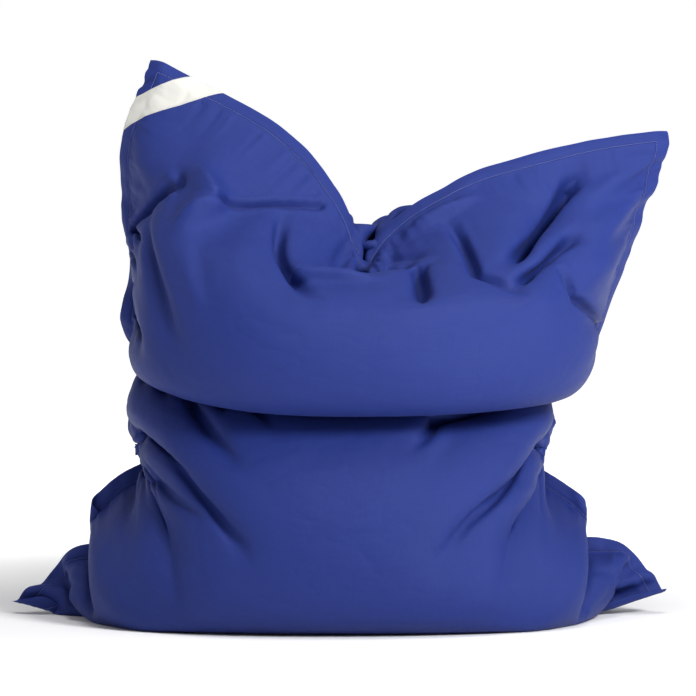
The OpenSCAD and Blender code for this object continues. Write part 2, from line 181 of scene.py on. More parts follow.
@dataclass
class BagShape:
    """The lumps that the beads settle into, which lead the cloth while it is relaxed.

    Heights named up are measured on the flat cloth, from its bottom edge.
    """

    half_width: float = 0.65
    height: float = 1.60
    flange: float = 0.03
    crease_up: float = 0.89
    left: Seam = field(default_factory=lambda: Seam(
        (0.03, 0.12, 0.17, 0.23, 0.30, 0.37, 0.44, 0.52, 0.60, 0.70, 0.80, 0.88, 0.99, 1.06, 1.15,
         1.25, 1.36, 1.46, 1.57),
        (-0.60, -0.53, -0.495, -0.47, -0.45, -0.435, -0.40, -0.35, -0.365, -0.37, -0.36, -0.335,
         -0.39, -0.385, -0.375, -0.395, -0.41, -0.395, -0.345),
        (0.02, 0.03, 0.03, 0.02, 0.01, 0.02, 0.03, 0.05, 0.08, 0.10, 0.10, 0.09, 0.03, 0.03, 0.05,
         0.07, 0.07, 0.06, 0.05),
        (0.03, 0.08, 0.105, 0.17, 0.235, 0.29, 0.33, 0.34, 0.36, 0.41, 0.48, 0.53, 0.565, 0.61, 0.685,
         0.78, 0.87, 0.95, 1.04)))
    right: Seam = field(default_factory=lambda: Seam(
        (0.03, 0.12, 0.17, 0.23, 0.30, 0.37, 0.44, 0.52, 0.60, 0.70, 0.80, 0.88, 0.99, 1.06, 1.15,
         1.25, 1.36, 1.46, 1.57),
        (0.60, 0.55, 0.505, 0.465, 0.445, 0.43, 0.40, 0.35, 0.365, 0.37, 0.36, 0.335, 0.405, 0.445,
         0.49, 0.525, 0.56, 0.59, 0.62),
        (0.02, 0.03, 0.03, 0.02, 0.01, 0.02, 0.03, 0.05, 0.08, 0.10, 0.10, 0.09, 0.03, 0.04, 0.06,
         0.07, 0.07, 0.06, 0.05),
        (0.05, 0.115, 0.135, 0.18, 0.235, 0.29, 0.33, 0.34, 0.355, 0.395, 0.435, 0.45, 0.46, 0.50,
         0.56, 0.65, 0.74, 0.82, 0.91)))
    front: Seam = field(default_factory=lambda: Seam(
        (0.03, 0.35, 0.41, 0.53, 0.67, 0.79, 0.89, 1.02, 1.10, 1.20, 1.31, 1.39, 1.48, 1.57),
        (0.0, 0.0, 0.0, 0.0, 0.0, 0.0, 0.0, 0.0, 0.0, 0.01, 0.02, 0.03, 0.04, 0.045),
        (0.0, -0.32, -0.36, -0.372, -0.35, -0.28, -0.19, -0.345, -0.38, -0.375, -0.32, -0.27, -0.19,
         -0.10),
        (0.0, 0.0, 0.045, 0.165, 0.30, 0.40, 0.425, 0.415, 0.48, 0.58, 0.66, 0.68, 0.63, 0.67)))
    back: Seam = field(default_factory=lambda: Seam(
        (0.03, 0.345, 0.39, 0.482, 0.60, 0.72, 0.84, 0.97, 1.09, 1.21, 1.33, 1.45, 1.57),
        (0.0, 0.0, 0.0, 0.0, 0.0, 0.0, 0.0, 0.01, 0.02, 0.03, 0.04, 0.045, 0.045),
        (0.0, 0.315, 0.35, 0.363, 0.372, 0.365, 0.345, 0.305, 0.24, 0.15, 0.05, -0.04, -0.10),
        (0.0, 0.0, 0.03, 0.122, 0.24, 0.355, 0.465, 0.575, 0.665, 0.73, 0.765, 0.74, 0.67)))
    hem: Seam = field(default_factory=lambda: Seam(
        (-0.62, -0.55, -0.48, -0.375, -0.285, -0.19, -0.10, -0.045, -0.02, 0.02, 0.09, 0.18, 0.29,
         0.415, 0.52, 0.62),
        (-0.345, -0.28, -0.22, -0.12, -0.055, 0.0, 0.03, 0.04, 0.045, 0.055, 0.09, 0.155, 0.255,
         0.38, 0.49, 0.615),
        (0.05, 0.04, 0.03, 0.01, -0.01, -0.04, -0.07, -0.09, -0.10, -0.09, -0.06, -0.04, -0.01,
         0.01, 0.03, 0.05),
        (1.045, 1.01, 0.985, 0.935, 0.875, 0.80, 0.715, 0.67, 0.66, 0.67, 0.735, 0.795, 0.84,
         0.875, 0.895, 0.91)))

    def led(self, rows: int, columns: int) -> Grid:
        """Works out where the settled beads lead each point of the cloth.

        Args:
            rows: Rows of points from the bottom edge to the top edge.
            columns: Columns of points from the left edge to the right edge.

        Returns:
            The front and the back sheet's points, shaped (2, rows, columns, 3).
        """
        up = np.linspace(0.0, self.height, rows)[:, None]
        across = np.linspace(-self.half_width, self.half_width, columns)[None, :]
        seam_half = self.half_width - self.flange
        share = np.clip(np.abs(across) / seam_half, 0.0, 1.0)
        sheets = []
        for middle_line in (self.front, self.back):
            middle = middle_line.at(up[:, 0])[:, None, :]
            side = np.where((across < 0.0)[..., None], self.left.at(up[:, 0])[:, None, :],
                            self.right.at(up[:, 0])[:, None, :])
            full = np.clip(np.abs(middle[..., 1] - side[..., 1]) / 0.30, 0.0, 1.0)
            turn = share * math.pi / 2.0
            out = blend(share, np.sin(turn) ** 0.85, full)
            square = blend(0.32, 0.75, smooth_step(up, 0.32, 0.60))
            in_depth = blend(1.0 - share, np.cos(turn) ** square, np.sqrt(full))
            swell = 0.035 * smooth_step(up, 0.10, 0.20) * (1.0 - smooth_step(up, 0.24, 0.46))
            swell += 0.045 * (smooth_step(up, 0.50, 0.62) * (1.0 - smooth_step(up, 0.82, 0.92))
                             + smooth_step(up, 0.94, 1.00) * (1.0 - smooth_step(up, 1.08, 1.2)))
            crown = smooth_step(up, 1.05, 1.55)
            late = blend(4.5, 1.9, smooth_step(up, 0.30, 0.52))
            rise = blend(share**late, 1.0 - (1.0 - share) ** 2.0, crown)
            x = blend(middle[..., 0], side[..., 0], out)
            x = x + np.sign(across) * swell * np.sin(math.pi * share**3)
            y = blend(side[..., 1], middle[..., 1], in_depth)
            z = blend(middle[..., 2], side[..., 2], rise)
            beyond = np.sign(across) * np.clip(np.abs(across) - seam_half, 0.0, None)
            above = np.clip(up - (self.height - self.flange), 0.0, None)
            low = smooth_step(up, 0.14, 0.22) * (1.0 - smooth_step(up, 0.46, 0.66))
            lean = 0.6 * above + blend(0.6, 0.95, low) * np.abs(beyond)
            sheet = np.stack([x + blend(0.85, 0.3, low) * beyond, y + lean, z + 0.85 * above], axis=-1)
            sewn_row = np.argmin(np.abs(up[:, 0] - (self.height - self.flange)))
            lift = self.hem.at(np.clip(across[0], -seam_half, seam_half)) - (
                sheet[sewn_row] - np.stack([0.85 * beyond[0], 0.6 * np.abs(beyond[0]), 0 * beyond[0]], -1))
            sheet += lift * smooth_step(up, 1.18, 1.60)[..., None] ** 1.2
            sheets.append(sheet)
        return np.stack(sheets)


@dataclass(frozen=True)
class Fold:
    """A crease of the front sheet: its line on the flat cloth, how deep it is and how wide."""

    path: tuple[tuple[float, float], ...]
    depth: float
    half_width: float
    start: float = 0.0
    end: float = 0.0
    crisp: bool = False

    def lay(self, across: np.ndarray, up: np.ndarray) -> tuple[np.ndarray, np.ndarray]:
        """Works out the crease over a grid of places on the flat cloth.

        Args:
            across: Places across the cloth, one for each column.
            up: Places up the cloth, one for each row.

        Returns:
            How far inward the crease draws each point, and how near to the crease each point is.
        """
        a, b = np.meshgrid(across, up)
        nearest = np.full(a.shape, np.inf)
        along = np.zeros(a.shape)
        lengths = [math.dist(p, q) for p, q in zip(self.path, self.path[1:])]
        done = 0.0
        for (p, q), length in zip(zip(self.path, self.path[1:]), lengths):
            t = np.clip(((a - p[0]) * (q[0] - p[0]) + (b - p[1]) * (q[1] - p[1])) / length**2, 0.0, 1.0)
            off = np.hypot(a - p[0] - t * (q[0] - p[0]), b - p[1] - t * (q[1] - p[1]))
            closer = off < nearest
            nearest = np.where(closer, off, nearest)
            along = np.where(closer, (done + t * length) / sum(lengths), along)
            done += length
        taper = blend(self.start, 1.0, smooth_step(along, 0.0, 0.35)) * blend(
            self.end, 1.0, smooth_step(1.0 - along, 0.0, 0.45))
        d = nearest / self.half_width
        if self.crisp:
            section = np.exp(-1.5 * d) - 0.4 * np.exp(-((d - 1.9) ** 2))
        else:
            section = np.exp(-d**2) - 0.45 * np.exp(-((d - 1.7) ** 2))
        return self.depth * taper * section, taper * np.exp(-((d / 2.2) ** 2))


FRONT_FOLDS = (
    Fold(((-0.60, 1.25), (-0.45, 1.40)), 0.040, 0.020, start=1.0, end=0.3),
    Fold(((-0.45, 1.45), (-0.35, 1.40), (-0.40, 1.30)), -0.018, 0.032),
    Fold(((-0.20, 1.55), (-0.40, 1.35)), 0.017, 0.011, start=0.8),
    Fold(((-0.25, 1.50), (-0.05, 1.25)), 0.022, 0.018),
    Fold(((0.10, 1.45), (0.10, 1.25)), 0.030, 0.020),
    Fold(((-0.15, 1.35), (0.05, 1.35)), -0.014, 0.015),
    Fold(((-0.10, 1.45), (0.10, 1.45)), 0.050, 0.030),
    Fold(((0.50, 1.55), (0.25, 1.35)), 0.046, 0.024),
    Fold(((0.45, 1.40), (0.25, 1.30)), 0.034, 0.018),
    Fold(((0.20, 1.55), (0.20, 1.35), (0.30, 1.25)), 0.020, 0.016),
    Fold(((0.35, 1.35), (0.40, 1.25), (0.60, 1.15)), 0.018, 0.015, end=0.5),
    Fold(((0.10, 1.55), (0.30, 1.55)), -0.012, 0.015),
    Fold(((-0.60, 1.25), (-0.50, 1.25)), 0.014, 0.012, start=1.0),
    Fold(((-0.60, 1.20), (-0.50, 1.20)), 0.014, 0.012, start=1.0),
    Fold(((-0.60, 1.05), (-0.40, 1.10)), 0.030, 0.018, start=1.0),
    Fold(((0.15, 0.80), (0.40, 0.85)), 0.026, 0.018, end=0.6),
    Fold(((-0.60, 0.55), (-0.45, 0.70), (-0.25, 0.65)), 0.022, 0.013, start=1.0),
    Fold(((-0.60, 0.50), (-0.40, 0.60), (-0.20, 0.55)), 0.006, 0.014, start=0.8),
    Fold(((0.60, 0.55), (0.45, 0.70), (0.25, 0.55)), 0.022, 0.013, start=1.0),
)


@dataclass(frozen=True)
class Pinch:
    """Pleats that fan out over the cloth from a place where its seam is drawn in."""

    centre: tuple[float, float]
    facing_deg: float
    reach: float
    depth: float
    pleats: float
    spread_deg: float = 80.0

    def lay(self, across: np.ndarray, up: np.ndarray, phase: float) -> np.ndarray:
        """Works out how far inward the pleats draw each place of a grid on the flat cloth."""
        a, b = np.meshgrid(across - self.centre[0], up - self.centre[1])
        far = np.hypot(a, b)
        facing = math.radians(self.facing_deg)
        aside = b * math.cos(facing) - a * math.sin(facing)
        angle = np.arctan2(aside, a * math.cos(facing) + b * math.sin(facing))
        spread = math.radians(self.spread_deg)
        fan = 1.0 - smooth_step(np.abs(angle), 0.55 * spread, spread)
        turn = 0.5 * math.pi * self.pleats * angle / spread + 0.5 * np.sin(3.1 * angle + phase) + phase
        section = 0.6 - np.abs(np.sin(turn)) ** 0.8
        begun = smooth_step(far, 0.0, 0.3 * self.reach)
        return self.depth * section * fan * begun * np.exp(-((far / self.reach) ** 2))


PINCHES = (
    Pinch((-0.62, 0.60), 5.0, 0.19, 0.014, 6.0),
    Pinch((0.62, 0.58), 175.0, 0.19, 0.014, 6.0),
    Pinch((-0.62, 1.10), 10.0, 0.12, 0.011, 5.0),
    Pinch((-0.62, 1.26), 0.0, 0.13, 0.011, 5.0),
    Pinch((0.62, 1.16), 175.0, 0.15, 0.012, 5.0),
    Pinch((0.03, 1.57), -90.0, 0.17, 0.012, 7.0),
    Pinch((-0.57, 0.10), 40.0, 0.13, 0.007, 4.0),
    Pinch((0.57, 0.10), 140.0, 0.13, 0.007, 4.0),
)


@dataclass
class CoverCloth:
    """Two sheets of cloth sewn round their edge and relaxed over the beads that fill them."""

    shape: BagShape
    zip_up: float = 0.482
    zip_half: float = 0.31
    zip_face: float = 0.3633
    zip_height: float = 0.122
    pressure: float = 0.0011
    weight: float = 0.0006
    carried_on: float = 0.90
    sheets_apart: float = 0.003
    crease_slope: float = 0.11
    guide_reach: float = 0.07
    fold_reach: float = 0.035
    belly_evened: float = 0.85
    sides_evened: float = 0.6

    @property
    def width(self) -> float:
        """The flat cloth's width."""
        return 2.0 * self.shape.half_width

    @property
    def height(self) -> float:
        """The flat cloth's height."""
        return self.shape.height

    @property
    def flange(self) -> float:
        """The width of the flat strip outside the seam."""
        return self.shape.flange

    def relax(self) -> Grid:
        """Relaxes the cloth on finer and finer grids and returns the finest.

        Returns:
            The front and the back sheet's points, shaped (2, rows, columns, 3).
        """
        points: Grid | None = None
        for cell, steps, lead in ((0.04, 160, 0.25), (0.02, 160, 0.12), (0.01, 200, 0.05)):
            rows = round(self.height / cell) + 1
            columns = round(self.width / cell) + 1
            led = self.shape.led(rows, columns)
            points = led.copy() if points is None else resampled(points, rows, columns)
            points = self.settle(points, led, steps, lead)
            log.info("cloth of %d x %d points settled", rows, columns)
        up = np.linspace(0.0, self.height, rows)[:, None, None]
        across = np.linspace(-self.width / 2.0, self.width / 2.0, columns)[None, :, None]
        full = smooth_step(up, 0.30, 0.38) * (1.0 - smooth_step(up, 0.48, 0.60)) * (
            1.0 - smooth_step(np.abs(across), 0.46, 0.56))
        even = np.einsum("rs,sck,dc->rdk", smoothing(rows, 4.5), points[0], smoothing(columns, 4.5),
                         optimize=True)
        points[0] = blend(points[0], even, self.belly_evened * full)
        edges = smooth_step(np.abs(across), 0.44, 0.62) * smooth_step(up, 0.96, 1.06) * (
            1.0 - smooth_step(up, 1.44, 1.54))
        along = np.einsum("rs,psck->prck", smoothing(rows, 4.0), points, optimize=True)
        return blend(points, along, self.sides_evened * edges[None])

    def settle(self, points: Grid, led: Grid, steps: int, lead: float) -> Grid:
        """Runs the cloth for a number of steps.

        Args:
            points: Where the cloth is now.
            led: Where the beads lead it.
            steps: How many steps to run.
            lead: How strongly it is led.

        Returns:
            Where the cloth comes to lie.
        """
        rows, columns = points.shape[1:3]
        across = np.linspace(-self.width / 2.0, self.width / 2.0, columns)
        up = np.linspace(0.0, self.height, rows)
        step_a = across[1] - across[0]
        step_b = up[1] - up[0]
        edge = self.width / 2.0 - self.flange
        sewn = ((np.abs(across)[None, :] > edge - 1e-4) | (up[:, None] < self.flange + 1e-4)
                | (up[:, None] > self.height - self.flange - 1e-4))
        flat_zip = (np.abs(up - self.zip_up)[:, None] < 0.035) & (np.abs(across)[None, :] < self.zip_half)
        zip_place = np.stack(np.broadcast_arrays(
            across[None, :], self.zip_face, self.zip_height + up[:, None] - self.zip_up), axis=-1)
        smooth_b = smoothing(rows, self.guide_reach / step_b)
        smooth_a = smoothing(columns, self.guide_reach / step_a)
        led_smooth = np.einsum("rs,psck,dc->prdk", smooth_b, led, smooth_a, optimize=True)
        before = points.copy()
        links = self.links(step_a, step_b)
        near_seam = smooth_step(np.abs(across), 0.42, 0.60)[None, :]
        belly = smooth_step(up, 0.05, 0.15) * (1.0 - smooth_step(up, 0.42, 0.55))
        give = 1.0 + 0.08 * belly[:, None] - 0.15 * near_seam * smooth_step(up, 0.25, 0.40)[:, None] * (
            1.0 - smooth_step(up, 1.15, 1.45)[:, None])
        in_from_side = smooth_step(edge - np.abs(across), -0.02, 0.16)[None, :, None]
        in_from_top = smooth_step(self.height - self.flange - up, -0.02, 0.16)[:, None, None]
        push = self.pressure * step_a / 0.01 * in_from_side * in_from_top
        hold = self.held(across, up)
        laid = [fold.lay(across, up) for fold in FRONT_FOLDS]
        inward = sum(part[0] for part in laid)[..., None]
        near = 0.45 * np.clip(sum(part[1] for part in laid), 0.0, 1.0)[..., None] * (step_a < 0.03)
        fine_b = smoothing(rows, self.fold_reach / step_b)
        fine_a = smoothing(columns, self.fold_reach / step_a)
        crease = led[0, round(self.shape.crease_up / step_b)]
        fold_in = smooth_step(self.width / 2.0 - np.abs(across), 0.05, 0.12) > 0.5
        under = (up > self.shape.crease_up - 0.16) & (up < self.shape.crease_up)
        over = (up > self.shape.crease_up) & (up < self.shape.crease_up + 0.20)
        for step in range(steps):
            speed = (points - before) * self.carried_on
            before = points.copy()
            points = points + speed
            points += self.normals(points) * (push * smooth_step(1.0 - points[..., 2:3], 0.0, 0.9))
            points[..., 2] -= self.weight
            own = np.einsum("rs,psck,dc->prdk", smooth_b, points, smooth_a, optimize=True)
            points += lead * (led_smooth - own) + hold * (led - points)
            if step_a < 0.03:
                calm = np.einsum("rs,sck,dc->rdk", fine_b, points[0], fine_a, optimize=True)
                points[0] += near * (calm - self.normals(points)[0] * (1.4 * inward) - points[0])
            for _ in range(3):
                for link in links:
                    self.pull(points, give, *link)
                middle = points.mean(axis=0)
                points[:, sewn] = middle[sewn]
                points[1][flat_zip] = zip_place[flat_zip]
                np.maximum(points[..., 2], 0.0, out=points[..., 2])
                gap = points[1, ..., 1] - points[0, ..., 1]
                short = np.where(sewn, 0.0, np.clip(self.sheets_apart - gap, 0.0, None)) / 2.0
                points[0, ..., 1] -= short
                points[1, ..., 1] += short
                level = crease[:, 2] + self.crease_slope * (points[0, ..., 1] - crease[:, 1])
                low = np.minimum(points[0, ..., 2], level - 0.002)
                high = np.maximum(points[0, ..., 2], level + 0.002)
                points[0, ..., 2] = np.where(under[:, None] & fold_in, low, points[0, ..., 2])
                points[0, ..., 2] = np.where(over[:, None] & fold_in, high, points[0, ..., 2])
            grounded = points[..., 2] < 0.001
            points[grounded, :2] = blend(before[grounded, :2], points[grounded, :2], 0.4)
        return points

    def held(self, across: np.ndarray, up: np.ndarray) -> np.ndarray:
        """Returns how firmly each point is held where it is led: at the corners and the crease."""
        a = across[None, :]
        b = up[:, None]
        hold = np.zeros((2, len(up), len(across)))
        for corner_a in (-self.width / 2.0, self.width / 2.0):
            for corner_b in (0.0, self.height):
                hold += 0.15 * np.exp(-((a - corner_a) ** 2 + (b - corner_b) ** 2) / (2 * 0.07**2))
        hold[0] += 0.20 * np.exp(-((b - self.shape.crease_up) / 0.04) ** 2) * (np.abs(a) < 0.56)
        hold[0] += 0.05 * np.exp(-((b - 1.46) / 0.06) ** 2 - (a / 0.16) ** 2)
        hold += 0.12 * np.exp(-((b - 1.58) / 0.03) ** 2)
        hold += 0.05 * (np.abs(a) > 0.615) * smooth_step(b, 1.05, 1.20)
        return hold[..., None]

    @staticmethod
    def links(step_a: float, step_b: float) -> list[tuple[int, int, float, float, bool]]:
        """Lists the weave's links: rows up, columns across, length, stiffness, only if too short."""
        slant = math.hypot(step_a, step_b)
        return [
            (0, 1, step_a, 1.0, False), (1, 0, step_b, 1.0, False),
            (1, 1, slant, 0.6, False), (1, -1, slant, 0.6, False),
            (0, 2, 2 * step_a, 0.35, True), (2, 0, 2 * step_b, 0.35, True),
            (0, 4, 4 * step_a, 0.10, True), (4, 0, 4 * step_b, 0.10, True),
        ]

    @staticmethod
    def pull(points: Grid, give: np.ndarray, up: int, across: int, length: float, stiffness: float,
             only_short: bool) -> None:
        """Brings every pair of points a link apart to the link's length, in sets that share no point."""
        rows, columns = points.shape[1:3]
        first, last = max(0, -across), columns - max(0, across)
        if up:
            sets = [(slice(s, rows - up, 2 * up), slice(first, last), up, across) for s in range(2 * up)]
        else:
            sets = [(slice(0, rows), slice(s, columns - across, 2 * across), up, across)
                    for s in range(2 * across)]
        for row_set, column_set, rise, run in sets:
            a = points[:, row_set, column_set]
            rows_b = slice(row_set.start + rise, row_set.stop + rise, row_set.step)
            columns_b = slice(column_set.start + run, column_set.stop + run, column_set.step)
            b = points[:, rows_b, columns_b]
            if a.shape[1] == 0 or a.shape[2] == 0:
                continue
            apart = b - a
            far = np.sqrt(np.einsum("...k,...k", apart, apart)) + 1e-9
            wanted = length * give[row_set, column_set] if rise else length
            share = (far - wanted) / far
            if only_short:
                share = np.minimum(share, 0.0)
            apart *= (0.5 * stiffness * share)[..., None]
            a += apart
            b -= apart

    @staticmethod
    def normals(points: Grid) -> Grid:
        """Returns the outward unit normals of both sheets."""
        up = np.gradient(points, axis=1)
        across = np.gradient(points, axis=2)
        normal = np.cross(across, up)
        normal[1] *= -1.0
        return normal / (np.linalg.norm(normal, axis=-1, keepdims=True) + 1e-12)


@dataclass
class FineCloth:
    """The relaxed cover on a fine grid, which the sewn pieces are cut from or lie on."""

    cloth: CoverCloth
    cell: float = 0.005
    layer: float = 0.0009
    pucker: float = 0.0020
    ripple: float = 0.0008
    sharpness: float = 0.75

    def __post_init__(self) -> None:
        """Relaxes the cloth and brings it to the fine grid with its crisp folds and puckers."""
        cloth = self.cloth
        rows = round(cloth.height / self.cell) + 1
        columns = round(cloth.width / self.cell) + 1
        self.coarse: Grid = cloth.relax()
        self.up = np.linspace(0.0, cloth.height, rows)
        self.across = np.linspace(-cloth.width / 2.0, cloth.width / 2.0, columns)
        points = resampled(self.coarse, rows, columns)
        normals = cloth.normals(points)
        crisp = [replace(f, half_width=0.6 * f.half_width, depth=self.sharpness * f.depth, crisp=True)
                 for f in FRONT_FOLDS]
        inward = np.zeros((2, rows, columns))
        inward[0] = sum(fold.lay(self.across, self.up)[0] for fold in crisp)
        inward += np.stack([sum(pinch.lay(self.across, self.up, phase) for pinch in PINCHES)
                            for phase in (0.4, 2.0)])
        in_from_side = cloth.width / 2.0 - cloth.flange - np.abs(self.across)
        in_from_end = np.minimum(self.up, cloth.height - self.up) - cloth.flange
        inside_seam = smooth_step(in_from_side, -0.005, 0.012)[None, :] * (
            smooth_step(in_from_end, -0.005, 0.012)[:, None])
        flat_zip = smooth_step(np.abs(self.up - cloth.zip_up), 0.03, 0.07)[:, None]
        inward[0] *= inside_seam
        inward[1] *= inside_seam * flat_zip
        points -= normals * inward[..., None]
        from_side = cloth.width / 2.0 - np.abs(self.across)[None, :]
        from_end = np.minimum(self.up, cloth.height - self.up)[:, None]
        self.from_edge = np.minimum(from_side, from_end)
        along = np.where(from_side < from_end, self.up[:, None], self.across[None, :])
        inside = np.clip(self.from_edge - cloth.flange, 0.0, None)
        off_floor = smooth_step(points[..., 2], 0.004, 0.02)
        wave = self.waves(along, 0.024, 0.4) + self.waves(along, 0.041, 2.1)
        gathered = self.pucker * wave * np.exp(-inside / 0.035) * smooth_step(inside, 0.0, 0.008)
        points += normals * (gathered * off_floor)[..., None]
        loose = 1.0 - smooth_step(self.from_edge, 0.0, 0.03)
        flapping = self.ripple * self.waves(along, 0.083, 1.0) * loose
        points += normals[0] * (flapping * off_floor.min(axis=0))[..., None]
        apart = self.layer * smooth_step(self.from_edge, -0.002, self.cell) * (
            1.0 - smooth_step(self.from_edge, 0.03, 0.05))
        points += normals * apart[..., None]
        np.maximum(points[..., 2], 0.0, out=points[..., 2])
        self.points: Grid = points
        self.normals: Grid = cloth.normals(points)

    @staticmethod
    def waves(along: np.ndarray, length: float, phase: float) -> np.ndarray:
        """Returns uneven waves of about the given length, from -1 to 1."""
        turn = 2.0 * math.pi * along / length
        uneven = 1.7 * np.sin(0.31 * turn)
        return 0.6 * np.sin(turn + phase + uneven) + 0.4 * np.sin(0.57 * turn + 2.3 * phase)

    def flat(self, side: Side) -> Grid:
        """Returns every point's place on the flat cloth, and which sheet it is on."""
        a, b = np.meshgrid(self.across, self.up)
        return np.stack([a, b, np.full(a.shape, float(side.value))], axis=-1)

    def at(self, side: Side, across: np.ndarray, up: np.ndarray) -> tuple[np.ndarray, np.ndarray]:
        """Finds places of the flat cloth on the relaxed cloth.

        Args:
            side: The front or the back sheet.
            across: Places across the flat cloth.
            up: Places up the flat cloth.

        Returns:
            The points there and the outward unit normals.
        """
        column = np.clip((across - self.across[0]) / self.cell, 0.0, len(self.across) - 1.001)
        row = np.clip(up / self.cell, 0.0, len(self.up) - 1.001)
        c, r = column.astype(int), row.astype(int)
        u, v = (column - c)[..., None], (row - r)[..., None]
        found = []
        for grid in (self.points[side.value], self.normals[side.value]):
            found.append((1 - u) * (1 - v) * grid[r, c] + u * (1 - v) * grid[r, c + 1]
                         + (1 - u) * v * grid[r + 1, c] + u * v * grid[r + 1, c + 1])
        normal = found[1] / np.linalg.norm(found[1], axis=-1, keepdims=True)
        return found[0], normal


# ---- making meshes ----


def grid_faces(rows: int, columns: int, start: int = 0) -> np.ndarray:
    """Lists the four-cornered faces of a grid of points that are numbered row by row from start."""
    index = np.arange(rows * columns).reshape(rows, columns) + start
    return np.stack([index[:-1, :-1], index[:-1, 1:], index[1:, 1:], index[1:, :-1]], axis=-1).reshape(-1, 4)


def piece_from(name: str, points: np.ndarray, faces: np.ndarray, flat: np.ndarray | None = None) -> Piece:
    """Makes a smooth-shaded mesh object.

    Args:
        name: The piece's name.
        points: Its points, shaped (n, 3).
        faces: Its four-cornered faces.
        flat: Where each point lies on the flat cloth, for finishes that follow the weave.

    Returns:
        The new object, linked to the scene.
    """
    mesh = bpy.data.meshes.new(name)
    mesh.from_pydata(points.tolist(), [], faces.tolist())
    mesh.polygons.foreach_set("use_smooth", np.ones(len(mesh.polygons), bool))
    if flat is not None:
        places = mesh.attributes.new("flat", "FLOAT_VECTOR", "POINT")
        places.data.foreach_set("vector", flat.astype(np.float32).ravel())
    mesh.update()
    piece = bpy.data.objects.new(name, mesh)
    bpy.context.scene.collection.objects.link(piece)
    return piece


def tubes(name: str, lines: Grid, outward: Grid, radii: np.ndarray, sides: int = 5,
          flatten: float = 1.0) -> Piece:
    """Makes one piece of many short tubes with closed, tapering ends.

    Args:
        name: The piece's name.
        lines: The middle lines of the tubes, shaped (tubes, rings, 3).
        outward: A direction across each tube at each ring, in the same shape.
        radii: The tubes' radius at each ring.
        sides: How many sides a tube has.
        flatten: How thick a tube is along outward, as a share of its width.

    Returns:
        The new piece.
    """
    count, rings = lines.shape[:2]
    ahead = np.gradient(lines, axis=1)
    ahead /= np.linalg.norm(ahead, axis=-1, keepdims=True) + 1e-12
    beside = np.cross(ahead, outward)
    beside /= np.linalg.norm(beside, axis=-1, keepdims=True) + 1e-12
    above = np.cross(beside, ahead)
    turn = 2.0 * math.pi * np.arange(sides) / sides
    ring = (np.cos(turn)[:, None] * beside[:, :, None, :]
            + flatten * np.sin(turn)[:, None] * above[:, :, None, :])
    points = lines[:, :, None, :] + radii[None, :, None, None] * ring
    index = np.arange(count * rings * sides).reshape(count, rings, sides)
    around = np.roll(index, -1, axis=2)
    faces = np.stack([index[:, :-1], around[:, :-1], around[:, 1:], index[:, 1:]], axis=-1).reshape(-1, 4)
    return piece_from(name, points.reshape(-1, 3), faces)


def evenly(points: np.ndarray, extra: np.ndarray, step: float) -> tuple[np.ndarray, np.ndarray]:
    """Walks along a line and gives its points, and what goes with them, every step."""
    far = np.concatenate([[0.0], np.cumsum(np.linalg.norm(np.diff(points, axis=0), axis=1))])
    places = np.arange(0.0, far[-1], step)
    columns = [np.stack([np.interp(places, far, grid[:, k]) for k in range(3)], axis=-1)
               for grid in (points, extra)]
    return columns[0], columns[1]


@dataclass(frozen=True)
class Stitching:
    """A run of lockstitch: each stitch stands a little out of the cloth and dips in at its ends."""

    length: float = 0.0042
    gap: float = 0.0008
    radius: float = 0.00042

    def sew(self, name: str, runs: Sequence[tuple[np.ndarray, np.ndarray]]) -> Piece:
        """Sews stitches along lines.

        Args:
            name: The piece's name.
            runs: For each line, its points and the cloth's normals there.

        Returns:
            All the stitches as one piece.
        """
        steps = 5
        pitch = self.length + self.gap
        stand = self.radius * np.array([-1.2, 0.5, 0.9, 0.5, -1.2])
        lines, outward = [], []
        for points, normals in runs:
            fine, facing = evenly(points, normals, pitch / steps)
            count = len(fine) // steps
            share = np.arange(steps) * self.length / (steps - 1) / pitch
            place = ((np.arange(count)[:, None] + share[None, :]) * steps).clip(0, len(fine) - 1.001)
            low = place.astype(int)
            t = (place - low)[..., None]
            here = blend(fine[low], fine[low + 1], t)
            up = facing[low]
            up /= np.linalg.norm(up, axis=-1, keepdims=True) + 1e-12
            lines.append(here + up * stand[None, :, None])
            outward.append(up)
        radii = self.radius * np.array([0.6, 1.0, 1.05, 1.0, 0.6])
        return tubes(name, np.concatenate(lines), np.concatenate(outward), radii, sides=4, flatten=0.8)


# ---- shader maths ----


def tint(code: str) -> Colour:
    """Turns a colour written as six hex digits into the linear colour that a shader takes."""
    parts = [int(code[k:k + 2], 16) / 255.0 for k in (0, 2, 4)]
    linear = [c / 12.92 if c <= 0.04045 else ((c + 0.055) / 1.055) ** 2.4 for c in parts]
    return (linear[0], linear[1], linear[2], 1.0)


